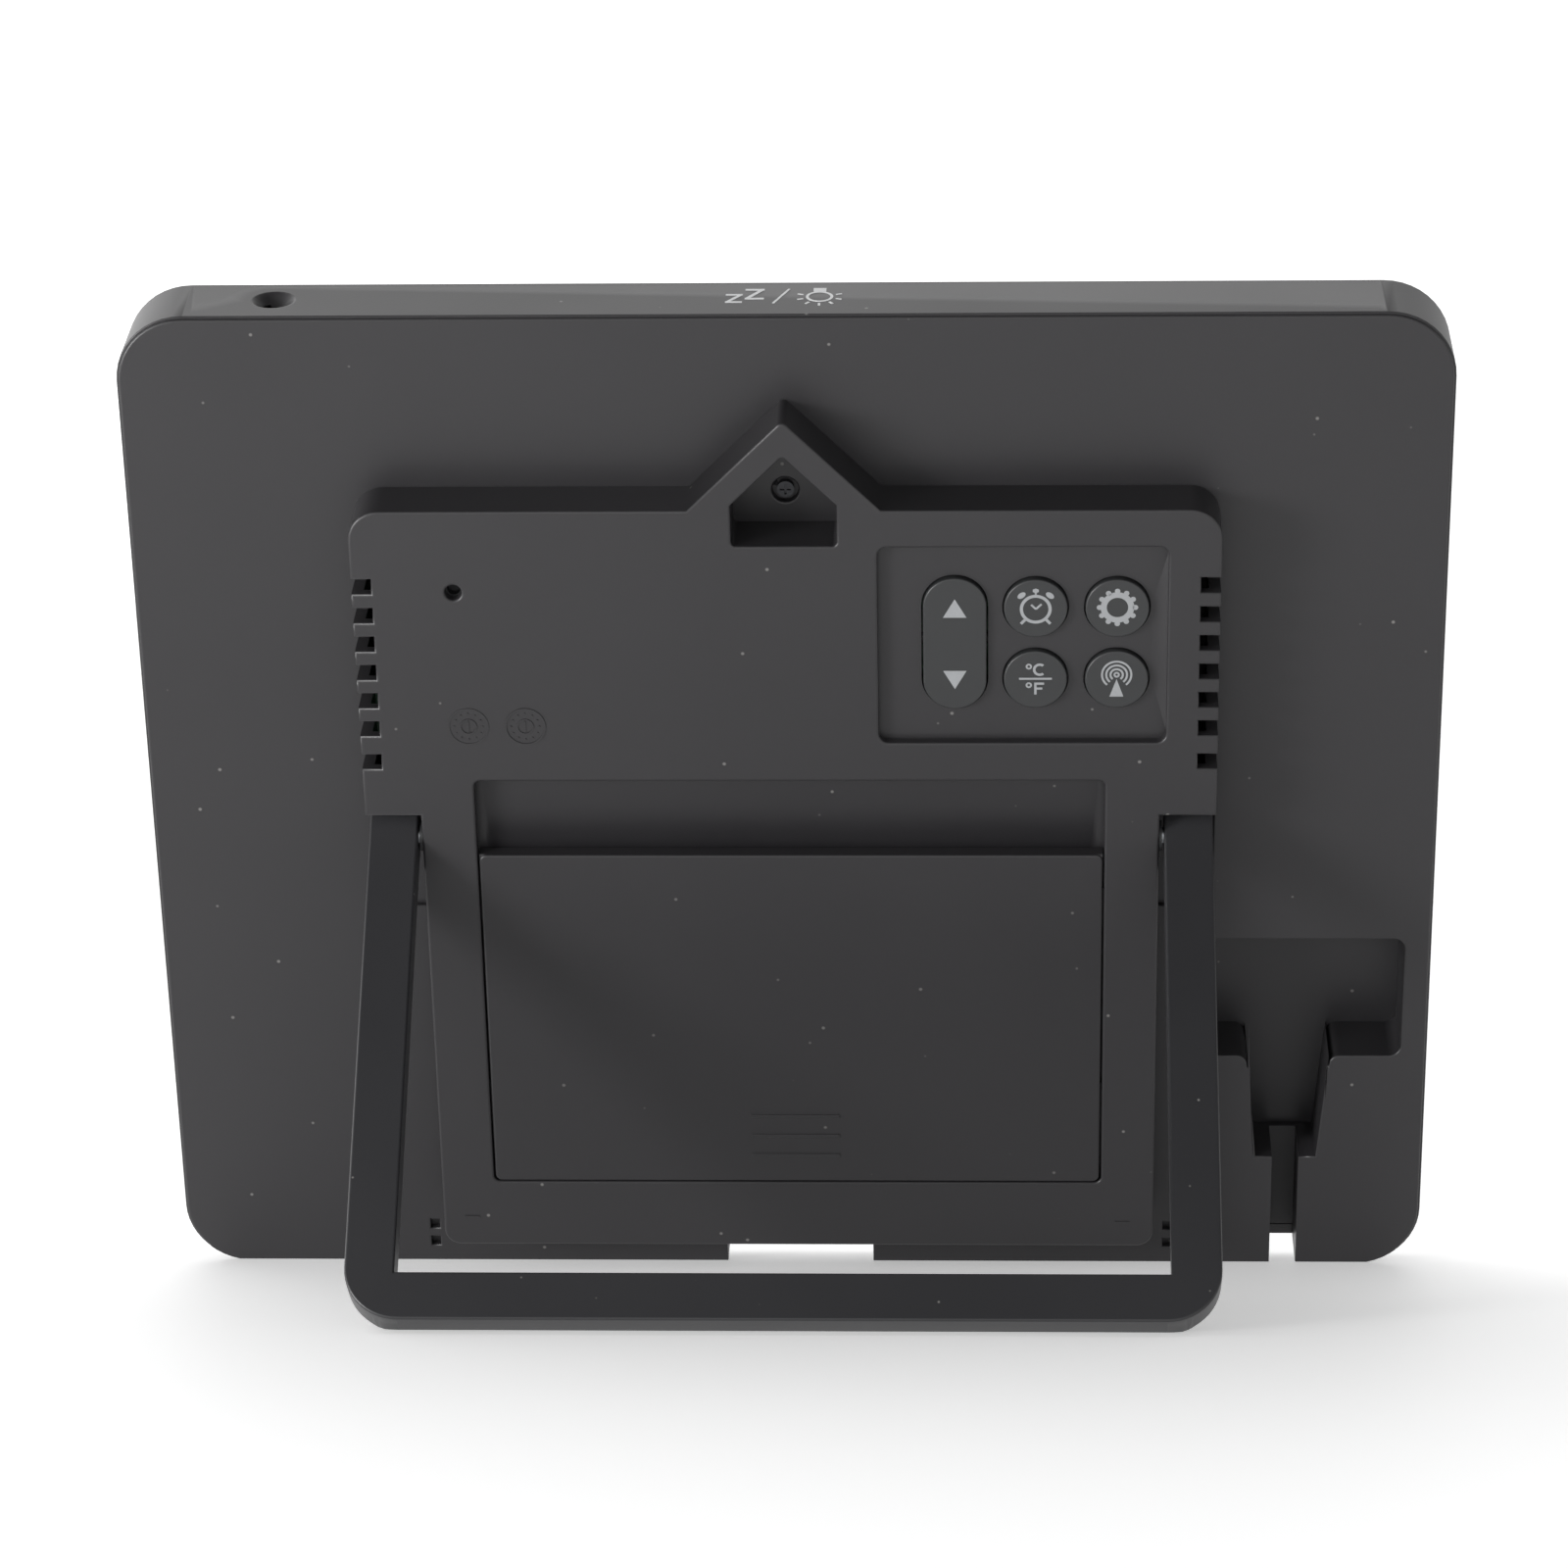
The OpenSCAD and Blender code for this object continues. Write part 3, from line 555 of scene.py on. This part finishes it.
@dataclass
class Symbol:
    """A flat printed symbol, put together from rings, bars and polygons in its own plane.

    Attributes:
        name: The piece's name.
        thick: Thickness of the print in millimetres.
    """

    name: str
    thick: float = 0.04
    parts: list[bpy.types.Object] = field(default_factory=list)

    def keep(self, part: bpy.types.Object) -> None:
        """Adds a flat part with its thickness, which differs a little between neighbours."""
        baked(part)
        with editing(part):
            bpy.ops.mesh.select_all(action="SELECT")
            bpy.ops.mesh.normals_make_consistent(inside=False)
            if bmesh.from_edit_mesh(part.data).faces[:][0].normal.z < 0:
                bpy.ops.mesh.flip_normals()
        modify(part, "SOLIDIFY", thickness=self.thick * (1 - 0.08 * (len(self.parts) % 4)), offset=1)
        self.parts.append(part)

    def ring(
        self, at: Point, outer: float, inner: float, arc: tuple[float, float] = (0.0, 360.0), sides: int = 48
    ) -> "Symbol":
        """Adds a ring, or the stretch of it between two angles in degrees."""
        deselect()
        bpy.ops.mesh.primitive_circle_add(vertices=sides, radius=outer, location=(*at, 0))
        part = bpy.context.active_object
        start, stop = arc
        with editing(part, "EDGE"):
            bpy.ops.mesh.select_all(action="SELECT")
            bpy.ops.mesh.extrude_edges_move()
            bpy.ops.transform.resize(value=(inner / outer,) * 3, center_override=(*at, 0))
        if stop - start < 360:
            with editing(part, "FACE"):

                def outside(face: bmesh.types.BMFace) -> bool:
                    """Whether a face lies beyond the wanted arc."""
                    centre = face.calc_center_median()
                    angle = math.degrees(math.atan2(centre.y, centre.x))
                    return (angle - start) % 360 > stop - start

                if pick(part, "faces", outside):
                    bpy.ops.mesh.delete(type="FACE")
        self.keep(part)
        return self

    def disc(
        self, at: Point, radius: float, sides: int = 32, stretch: Point = (1, 1), turn: float = 0
    ) -> "Symbol":
        """Adds a filled disc or regular polygon, stretched and then turned by an angle in degrees."""
        deselect()
        bpy.ops.mesh.primitive_circle_add(vertices=sides, radius=radius, fill_type="NGON")
        part = bpy.context.active_object
        part.scale = (*stretch, 1)
        part.rotation_euler.z = math.radians(turn)
        part.location = (*at, 0)
        self.keep(part)
        return self

    def bar(self, start: Point, stop: Point, width: float) -> "Symbol":
        """Adds a straight bar between two points."""
        run = Vector(stop) - Vector(start)
        middle = (Vector(stop) + Vector(start)) / 2
        deselect()
        bpy.ops.mesh.primitive_plane_add(
            size=1, location=(*middle, 0), rotation=(0, 0, math.atan2(run.y, run.x))
        )
        part = bpy.context.active_object
        part.scale = (run.length, width, 1)
        self.keep(part)
        return self

    def segment(self, at: Point, length: float, width: float, upright: bool) -> "Symbol":
        """Adds one segment of a digit: a bar with pointed ends."""
        deselect()
        bpy.ops.mesh.primitive_circle_add(
            vertices=6, radius=width / math.sqrt(3), fill_type="NGON", rotation=(0, 0, math.pi / 6)
        )
        part = baked(bpy.context.active_object)
        for side in (-1, 1):
            with editing(part, "VERT"):
                pick(part, "verts", lambda vert: vert.co.x * side > 1e-6)
                bpy.ops.transform.translate(value=(side * (length - width) / 2, 0, 0))
        part.rotation_euler.z = math.pi / 2 if upright else 0
        part.location = (*at, 0)
        self.keep(part)
        return self

    def digit(self, at: Point, height: float, number: int) -> "Symbol":
        """Adds a seven-segment digit whose left bottom corner is at a point."""
        letters = "abcdef bc abged abgcd fgbc afgcd afgedc abc abcdefg abcdfg".split()
        half, wide, thick = height / 2, height * 0.5, height * 0.12
        spots = {
            "a": (wide / 2, height, False), "g": (wide / 2, half, False), "d": (wide / 2, 0, False),
            "f": (0, half * 1.5, True), "b": (wide, half * 1.5, True),
            "e": (0, half / 2, True), "c": (wide, half / 2, True),
        }
        for x, y, upright in (spots[letter] for letter in letters[number]):
            long = (half if upright else wide) - thick * 0.25
            self.segment((at[0] + x, at[1] + y), long, thick, upright)
        return self

    def place(self, origin: Vector, side: "Side") -> bpy.types.Object:
        """Joins the parts and lays the symbol on a side of the case.

        Args:
            origin: Where the symbol's own centre goes, in the case frame.
            side: The side that it is read on.

        Returns:
            The joined piece, ready to be settled.
        """
        whole = joined(self.name, self.parts)
        right, up = side.value.right, side.value.up
        turn = Matrix((right, up, right.cross(up))).transposed().to_4x4()
        whole.matrix_world = Matrix.Translation(origin) @ turn
        return baked(whole)


@dataclass(frozen=True)
class Face:
    """A flat side of the case that can be printed on, as its reader sees it."""

    right: Vector
    up: Vector


class Side(Enum):
    """The sides that carry print."""

    BACK = Face(Vector((-1, 0, 0)), Vector((0, 0, 1)))
    TOP = Face(Vector((-1, 0, 0)), Vector((0, -1, 0)))
    FRONT = Face(Vector((1, 0, 0)), Vector((0, 0, 1)))


# ---------------------------------------------------------------- CAD copies with eased edges


def case_copy(node: str, matrix: Matrix) -> bpy.types.Object:
    """Copies a CAD node into the case frame, with its loose triangles merged into whole faces.

    Args:
        node: The CAD node.
        matrix: The matrix from the frame that it is to be edited in to metres.

    Returns:
        The copy, in millimetres.
    """
    source = frame["nodes"][node]
    piece = bpy.data.objects.new(f"{node}_eased", source.data.copy())
    bpy.context.scene.collection.objects.link(piece)
    piece.matrix_world = matrix.inverted()
    baked(piece)
    with editing(piece, "VERT"):
        bpy.ops.mesh.select_all(action="SELECT")
        bpy.ops.mesh.remove_doubles(threshold=0.002)
        bpy.ops.mesh.dissolve_limited(angle_limit=math.radians(0.4))
    return piece


def planes_beside(
    piece: bpy.types.Object, sharp: Callable[[bmesh.types.BMEdge], bool]
) -> list[tuple[Vector, float]]:
    """Finds the split flat faces beside some edges of a piece in edit mode.

    Args:
        piece: The object in edit mode.
        sharp: Picks the edges.

    Returns:
        The normal and the offset of each plane whose faces are cut up by level edges.
    """
    mesh = bmesh.from_edit_mesh(piece.data)
    planes: dict[tuple[int, ...], tuple[Vector, float]] = {}
    for edge in (e for e in mesh.edges if sharp(e)):
        for face in edge.link_faces:
            if any(len(e.link_faces) == 2 and e.calc_face_angle(1.0) < 0.002 for e in face.edges):
                offset = face.normal.dot(face.verts[0].co)
                key = tuple(round(v * 50) for v in (*face.normal, offset))
                planes[key] = (face.normal.copy(), offset)
    return list(planes.values())


def ease(
    piece: bpy.types.Object, radius: float, wanted: Callable[[Vector, Vector], bool], segments: int = 3
) -> None:
    """Rounds the sharp outward edges of a piece that a test picks.

    A flat that level edges cut up gets a narrow border first, so that the rounding runs evenly along it.

    Args:
        piece: The piece in the case frame.
        radius: Radius in millimetres.
        wanted: Called with both ends of each sharp outward edge.
        segments: Faces across the rounding.
    """

    def sharp(edge: bmesh.types.BMEdge) -> bool:
        """Whether an edge is a wanted outward corner."""
        if len(edge.link_faces) != 2 or not edge.is_convex or edge.calc_face_angle(0.0) < math.radians(30):
            return False
        return wanted(edge.verts[0].co, edge.verts[1].co)

    with editing(piece, "FACE"):
        for normal, offset in planes_beside(piece, sharp):
            bpy.ops.mesh.select_all(action="DESELECT")

            def lies_in(face: bmesh.types.BMFace) -> bool:
                """Whether a face lies in this round's plane."""
                return face.normal.dot(normal) > 0.9999 and abs(normal.dot(face.verts[0].co) - offset) < 0.02

            pick(piece, "faces", lies_in)
            bpy.ops.mesh.inset(thickness=radius * 1.2, depth=0, use_even_offset=True)
        bpy.ops.mesh.select_all(action="DESELECT")
        bpy.ops.mesh.select_mode(type="EDGE")
        found = pick(piece, "edges", sharp)
        if found:
            bpy.ops.mesh.bevel(
                offset=radius, segments=segments, profile=0.5, affect="EDGES", clamp_overlap=False
            )
    LOG.info("%s: eased %d edges to %.2f mm", piece.name, found, radius)


def level(height: float, within: float = 0.02) -> Callable[[Vector, Vector], bool]:
    """A test for edges that lie in the plane y = height of the case frame."""
    return lambda a, b: abs(a.y - height) < within and abs(b.y - height) < within


@dataclass
class CaseShells:
    """The front case and the back cover."""

    outer_radius: float = 1.2
    rim_radius: float = 0.25
    housing_radius: float = 0.4
    bay_radius: float = 0.35
    half_width: float = 115.0
    half_height: float = 95.5
    corner_radius: float = 12.0
    near: float = 0.1
    bottom_margin: float = 3.0

    def front(self) -> None:
        """Side band and bezel, rounded in front and eased at the back."""
        piece = case_copy("front_case", CASE.matrix)
        rims = ((LAYER.front, self.outer_radius, 5), (LAYER.rim, self.rim_radius, 2))
        for height, radius, segments in rims:
            flat = level(height)
            ease(piece, radius, lambda a, b: flat(a, b) and self.on_band(a) and self.on_band(b), segments)
        smooth(piece)
        settle(piece, Dress.CASE.value, stands_for=["front_case"])

    def on_band(self, point: Vector) -> bool:
        """Whether a point lies on the outside of the side band, its rounded corners included."""
        x = abs(point.x) - (self.half_width - self.corner_radius)
        z = abs(point.z - self.half_height) - (self.half_height - self.corner_radius)
        straight = max(x, z) > self.corner_radius - self.near
        return straight or (min(x, z) > 0 and abs(math.hypot(x, z) - self.corner_radius) < self.near)

    def back(self) -> None:
        """Flat back and raised housing, with the rims of its recesses eased."""
        piece = case_copy("back_cover", CASE.matrix)
        ease(piece, self.housing_radius, level(LAYER.housing))
        flat = level(LAYER.plate)
        ease(piece, self.bay_radius, lambda a, b: flat(a, b) and min(a.z, b.z) > self.bottom_margin)
        smooth(piece)
        settle(piece, Dress.CASE.value, stands_for=["back_cover"])

    def build(self) -> None:
        """Builds both shells."""
        self.front()
        self.back()


@dataclass
class FoldingStand:
    """The U-shaped stand with its eased edges."""

    edge_radius: float = 0.45
    open_angle: float = 54.0
    ground_gap: float = 0.4
    pin_at: Point = (7.6, 94.8)
    bore_reach: Point = (74.0, 1.8)

    def build(self) -> None:
        """Eases every long outer edge of the stand, apart from the flat that it rests on."""
        hinge = next(j for j in frame["joints"] if j["name"] == "stand_hinge")
        matrix = CASE.opened(self.open_angle, Vector(hinge["pos_m"]))
        piece = case_copy("stand", matrix)

        def wanted(a: Vector, b: Vector) -> bool:
            """Whether an edge is clear of the ground and of the bores for the pins."""
            on_ground = min((matrix @ a).z, (matrix @ b).z) < self.ground_gap * MM
            inner, radius = self.bore_reach
            in_bore = abs(a.x) < inner and math.dist((a.y, a.z), self.pin_at) < radius
            return not on_ground and not in_bore

        ease(piece, self.edge_radius, wanted, 3)
        smooth(piece)
        settle(piece, Dress.STAND.value, "stand", ["stand"], matrix)


@dataclass
class BatteryDoor:
    """The sliding door over the cells."""

    edge_radius: float = 0.35
    rib_radius: float = 0.15
    rib_height: float = 0.3

    def build(self) -> None:
        """Eases the door's outer face and its grip ribs."""
        piece = case_copy("battery_door", CASE.matrix)
        ease(piece, self.edge_radius, level(LAYER.housing))
        ease(piece, self.rib_radius, level(LAYER.housing + self.rib_height))
        smooth(piece)
        settle(piece, Dress.DOOR.value, "battery_door", ["battery_door"])


# ---------------------------------------------------------------- keys and print


@dataclass
class Keypad:
    """Four round keys and a rocker with their printed symbols."""

    edge_radius: float = 0.3
    ink: float = 0.04

    def cap(self, node: str, icon: Symbol, at: Point) -> None:
        """Eases one key's rim and prints its symbol, which rides on the key."""
        piece = case_copy(node, CASE.matrix)
        ease(piece, self.edge_radius, level(LAYER.key_top))
        smooth(piece)
        settle(piece, Dress.KEY.value, node, [node])
        spot = Vector((at[0], LAYER.key_top, at[1]))
        settle(icon.place(spot, Side.BACK), Dress.INK.value, node)

    def centre(self, node: str) -> Point:
        """The middle of a key in the case frame, taken from its box."""
        low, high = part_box(node)
        middle = CASE.matrix.inverted() @ ((Vector(low) + Vector(high)) / 2)
        return middle.x, middle.z

    def alarm(self) -> Symbol:
        """An alarm clock: dial, hands, two bells, crown and feet."""
        icon = Symbol("alarm_symbol", self.ink).ring((0, -0.3), 2.75, 2.2)
        icon.bar((-0.8, 0.55), (0.05, -0.3), 0.36).bar((0.02, -0.3), (1.0, 0.65), 0.36)
        for side in (-1, 1):
            icon.disc((side * 2.45, 2.3), 0.8, 24, (1.0, 0.62), -side * 38)
            icon.bar((side * 1.8, -2.3), (side * 2.55, -3.1), 0.5)
        return icon.disc((0, 3.2), 0.55, 6, (1.1, 0.8)).bar((0, 2.4), (0, 3.2), 0.35)

    def settings(self) -> Symbol:
        """A gear with twelve rounded teeth."""
        icon = Symbol("settings_symbol", self.ink).ring((0, 0), 2.9, 1.85)
        for tooth in range(12):
            angle = math.radians(30 * tooth)
            icon.disc((3.1 * math.sin(angle), 3.1 * math.cos(angle)), 0.48, 16)
        return icon

    def unit(self) -> Symbol:
        """Degrees Celsius over degrees Fahrenheit."""
        icon = Symbol("unit_symbol", self.ink).bar((-2.85, 0), (2.85, 0), 0.36)
        icon.ring((0.75, 1.75), 1.2, 0.75, (50, 310)).ring((-1.15, 2.35), 0.55, 0.24)
        icon.bar((0.0, -3.05), (0.0, -0.75), 0.42).bar((-0.2, -0.95), (1.5, -0.95), 0.42)
        return icon.bar((0.0, -1.9), (1.2, -1.9), 0.4).ring((-1.15, -1.25), 0.55, 0.24)

    def signal(self) -> Symbol:
        """A mast with waves around its tip."""
        icon = Symbol("signal_symbol", self.ink).ring((0, 0.75), 0.55, 0.22)
        for radius in (1.25, 1.98, 2.72):
            icon.ring((0, 0.75), radius, radius - 0.36, (-52, 232), 72)
        return icon.disc((0, -2.35), 2.25, 3, (0.62, 1.0))

    def up_down(self) -> Symbol:
        """One triangle pointing up and one pointing down."""
        icon = Symbol("up_down_symbol", self.ink)
        for side in (-1, 1):
            icon.disc((0, side * 6.3), 2.35, 3, (1.0, 1.0 if side > 0 else -1.0))
        return icon

    def build(self) -> None:
        """Builds the five keys."""
        icons = {
            "alarm_key": self.alarm, "settings_key": self.settings, "unit_key": self.unit,
            "signal_key": self.signal, "up_down_key": self.up_down,
        }
        for node, icon in icons.items():
            self.cap(node, icon(), self.centre(node))


@dataclass
class CasePrint:
    """Snooze and light symbols on the top edge, and the tool marks on the housing."""

    ink: float = 0.04
    raised: float = 0.16
    across: float = -8.8
    mark_at: Sequence[Point] = ((46.0, 118.0), (56.0, 118.0))
    dash_at: Sequence[Point] = ((60.0, 16.8), (-59.6, 15.9))

    def letter(self, icon: Symbol, at: Point, size: Point, width: float) -> None:
        """Adds a letter Z from three bars, as wide and as high as a size."""
        half, high = size[0] / 2, size[1] / 2
        for end in (-1, 1):
            icon.bar((at[0] - half, at[1] + end * high), (at[0] + half, at[1] + end * high), width)
        icon.bar((at[0] - half * 0.8, at[1] - high), (at[0] + half * 0.8, at[1] + high), width)

    def snooze(self) -> None:
        """Two Zs, a stroke and a lamp with rays, on the top edge."""
        icon = Symbol("snooze_symbol", self.ink)
        self.letter(icon, (-8.5, -1.0), (2.9, 3.3), 0.62)
        self.letter(icon, (-5.0, 0.9), (3.3, 4.0), 0.7)
        icon.bar((-1.7, -3.2), (0.9, 3.2), 0.42)
        icon.ring((6.2, -0.3), 2.35, 1.85)
        icon.bar((5.1, 2.75), (7.3, 2.75), 1.6)
        for ray in (-162, -126, -90, -54, -18, 18, 162):
            angle = math.radians(ray)
            near, far = (Vector((math.cos(angle), math.sin(angle))) * reach for reach in (2.95, 4.0))
            icon.bar((6.2 + near.x, -0.3 + near.y), (6.2 + far.x, -0.3 + far.y), 0.42)
        spot = Vector((0, self.across, CASE.height))
        settle(icon.place(spot, Side.TOP), Dress.EDGE_INK.value)

    def dials(self) -> None:
        """Two faint date dials of the mould and two short location bars."""
        marks = Symbol("mould_marks", self.raised)
        for x, z in self.mark_at:
            marks.ring((-x, z), 3.6, 3.3, sides=64).ring((-x, z), 1.5, 1.25)
            marks.bar((-x, z - 1.1), (-x, z + 1.1), 0.25)
            for month in range(12):
                angle = math.radians(30 * month)
                marks.disc((-x + 2.5 * math.sin(angle), z + 2.5 * math.cos(angle)), 0.18, 12)
        for x, z in self.dash_at:
            marks.bar((-x - 1.35, z), (-x + 1.35, z), 0.5)
        settle(marks.place(Vector((0, LAYER.housing, 0)), Side.BACK), Dress.CASE.value)

    def build(self) -> None:
        """Prints the top edge and raises the marks."""
        self.snooze()
        self.dials()


@dataclass
class Readout:
    """The dark border of the window, and the segments of the display behind it."""

    centre_z: float = 95.5
    border: Point = (211.4, 166.4)
    opening: Point = (190.0, 146.0)
    ink: float = 0.03
    film: float = 0.02
    ledge: float = -15.9

    def frame_print(self) -> None:
        """A screen-printed border around the display."""
        border = Symbol("window_border", self.ink)
        across, up = (self.border[0] + self.opening[0]) / 4, (self.border[1] + self.opening[1]) / 4
        wide, high = (self.border[0] - self.opening[0]) / 2, (self.border[1] - self.opening[1]) / 2
        for side in (-1, 1):
            border.bar((side * across, -self.border[1] / 2), (side * across, self.border[1] / 2), wide)
            border.bar((-self.opening[0] / 2, side * up), (self.opening[0] / 2, side * up), high)
        spot = Vector((0, self.ledge, self.centre_z))
        settle(border.place(spot, Side.FRONT), Dress.BORDER_INK.value)

    def segments(self) -> None:
        """Time above, temperature and date below, with a rule between."""
        lit = Symbol("display_segments", self.film)
        for x, number in ((-82, 1), (-44, 0), (12, 0), (50, 8)):
            lit.digit((x, 6), 52, number)
        lit.disc((-3, 24), 2.8).disc((-3, 40), 2.8)
        lit.bar((-88, -8), (88, -8), 0.8)
        for x, number in ((-84, 2), (-64, 1), (-40, 5), (16, 2), (34, 4), (60, 1), (78, 2)):
            lit.digit((x, -50), 26 if x < 0 else 22, number)
        lit.disc((-46, -50), 1.5).ring((-18, -26), 2.6, 1.5).ring((-8, -32), 6.5, 4.4, (50, 310))
        lit.bar((52, -40), (56, -40), 2.2)
        for day in range(7):
            lit.disc((-72 + 24 * day, -62), 2.6 if day == 2 else 1.2)
        spot = Vector((0, LAYER.glass_front, self.centre_z))
        settle(lit.place(spot, Side.FRONT), Dress.SEGMENT.value)

    def build(self) -> None:
        """Prints the border and lights the segments."""
        self.frame_print()
        self.segments()


@dataclass(frozen=True)
class InnerWorks:
    """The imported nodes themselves, seen where no finer piece stands for them."""

    metal: Sequence[str] = (
        "carrier_screws", "left_hinge_pin", "right_hinge_pin", "key_board_screws", "main_board_screws",
        "clock_crystal", "key_switches",
    )
    shells: Sequence[str] = ("front_case", "back_cover")
    keys: Sequence[str] = ("alarm_key", "settings_key", "unit_key", "signal_key", "up_down_key")
    cells: Sequence[str] = ("cell_1", "cell_2", "cell_3", "cell_4")

    def finishes(self) -> dict[Dress, Sequence[str]]:
        """Which nodes are made of what."""
        return {
            Dress.CASE: self.shells, Dress.KEY: self.keys, Dress.CELL: self.cells, Dress.STEEL: self.metal,
            Dress.STAND: ("stand",), Dress.DOOR: ("battery_door",), Dress.WINDOW: ("display_window",),
            Dress.GLASS: ("lcd_glass",), Dress.GUIDE: ("backlight_guide",),
            Dress.CARRIER: ("display_carrier",),
            Dress.SCREW: ("case_screws",), Dress.NYLON: ("hinge_washers", "antenna_clips", "ribbon_socket"),
            Dress.NICKEL: ("cell_springs", "cell_contacts"), Dress.LEAD: ("battery_leads",),
            Dress.BOARD: ("key_board", "main_board", "thermistor_board"),
            Dress.CHIP: ("main_chip", "thermistor_bead"), Dress.RIBBON: ("display_ribbon",),
            Dress.SOCKET: ("power_jack", "buzzer"), Dress.FERRITE: ("antenna_rod",),
            Dress.COPPER: ("antenna_coil", "snooze_pad"), Dress.SENSOR: ("light_sensor",),
        }

    def build(self) -> None:
        """Gives every node its finish, those that a finer piece stands for included."""
        for finish, nodes in self.finishes().items():
            for name in nodes:
                mesh = frame["nodes"][name].data
                mesh.materials.clear()
                mesh.materials.append(finish.value.material())
            LOG.info("%s: %s", finish.value.name, ", ".join(nodes))


# ---------------------------------------------------------------- stage


@dataclass
class Studio:
    """Camera, floor and lights.

    Attributes:
        camera_at: The camera's place in metres.
        yaw: Its heading off the clock's middle plane, in degrees.
        pitch: How far it looks down, in degrees.
        roll: Its bank, in degrees.
        lens: Focal length in millimetres.
        floor_size: Side of the floor in metres.
        backdrop: Strength of the white surroundings.
        ceiling: Strength of the dim ceiling above the camera.
        dim_side: Share of the light from the side of negative x.
        lit_side: Share of the light from the side of positive x.
        key_at: Place of the soft light, low beside the clock.
        key_aim: The point that it faces.
        key_size: Side of its square.
        key_watts: Its power.
    """

    camera_at: tuple[float, float, float] = (-0.0348, 0.9222, 0.1302)
    yaw: float = 2.248
    pitch: float = 2.436
    roll: float = -0.13
    lens: float = 118.6
    floor_size: float = 30.0
    backdrop: float = 1.45
    ceiling: float = 0.03
    dim_side: float = 0.55
    lit_side: float = 1.3
    key_at: tuple[float, float, float] = (0.8, 0.6, 0.04)
    key_aim: tuple[float, float, float] = (0.05, 0.0, 0.08)
    key_size: float = 0.3
    key_watts: float = 13.0

    def camera(self) -> None:
        """A long lens behind the clock, a little above it and looking slightly down."""
        data = bpy.data.cameras.new("camera")
        data.lens = self.lens
        data.clip_start = 0.01
        data.clip_end = 100.0
        view = bpy.data.objects.new("camera", data)
        bpy.context.scene.collection.objects.link(view)
        heading = Matrix.Rotation(math.pi + math.radians(self.yaw), 4, "Z")
        tilt = Matrix.Rotation(math.pi / 2 - math.radians(self.pitch), 4, "X")
        bank = Matrix.Rotation(math.radians(self.roll), 4, "Z")
        view.matrix_world = Matrix.Translation(self.camera_at) @ heading @ tilt @ bank
        bpy.context.scene.camera = view

    def floor(self) -> None:
        """A pale, softly lit floor, wide enough to meet the white surroundings."""
        deselect()
        bpy.ops.mesh.primitive_plane_add(size=self.floor_size, location=(0, 0, 0))
        plane = bpy.context.active_object
        plane.name = "floor"
        plane.data.materials.append(LightTable("opal_light_table", "#f4f4f4", 0.6).material())

    def key_light(self) -> None:
        """One soft square light, low on one side."""
        data = bpy.data.lights.new("key", "AREA")
        data.size = self.key_size
        data.energy = self.key_watts
        lamp = bpy.data.objects.new("key", data)
        bpy.context.scene.collection.objects.link(lamp)
        away = Vector(self.key_aim) - Vector(self.key_at)
        turn = away.to_track_quat("-Z", "Y").to_matrix().to_4x4()
        lamp.matrix_world = Matrix.Translation(self.key_at) @ turn

    def world(self) -> None:
        """White surroundings with a darker ceiling on the camera's side."""
        world = bpy.data.worlds.new("studio")
        world.use_nodes = True
        tree = world.node_tree
        tree.nodes.clear()
        way = add(tree, "SeparateXYZ", {"Vector": add(tree, "TexCoord").outputs["Generated"]})
        height = add(tree, "MapRange", {"Value": way.outputs[2], 1: 0.12, 2: 0.7, 3: 0.0, 4: 1.0})
        ahead = add(tree, "MapRange", {"Value": way.outputs[1], 1: -0.45, 2: 0.25, 3: 0.0, 4: 1.0})
        dark = add(tree, "Math", {0: height.outputs[0], 1: ahead.outputs[0]}, operation="MULTIPLY")
        glow = add(tree, "MapRange", {"Value": dark.outputs[0], 3: self.backdrop, 4: self.ceiling})
        across = {1: -0.5, 2: 0.5, 3: self.dim_side, 4: self.lit_side}
        side = add(tree, "MapRange", {"Value": way.outputs[0], **across})
        level_here = add(tree, "Math", {0: glow.outputs[0], 1: side.outputs[0]}, operation="MULTIPLY")
        back = add(tree, "Background", {"Color": (1, 1, 1, 1), "Strength": level_here.outputs[0]})
        add(tree, "OutputWorld", {"Surface": back.outputs[0]})
        bpy.context.scene.world = world
        bpy.context.scene.view_settings.view_transform = "Standard"

    def build(self) -> None:
        """Sets the whole stage."""
        self.camera()
        self.floor()
        self.world()
        self.key_light()


def main() -> None:
    """Builds the stage and the pieces."""
    logging.basicConfig(level=logging.INFO, format="%(name)s: %(message)s")
    parts = (
        Studio(), InnerWorks(), CaseShells(), FoldingStand(), BatteryDoor(), Keypad(), CasePrint(), Readout(),
    )
    for part in parts:
        part.build()


if __name__ == "__main__":
    main()
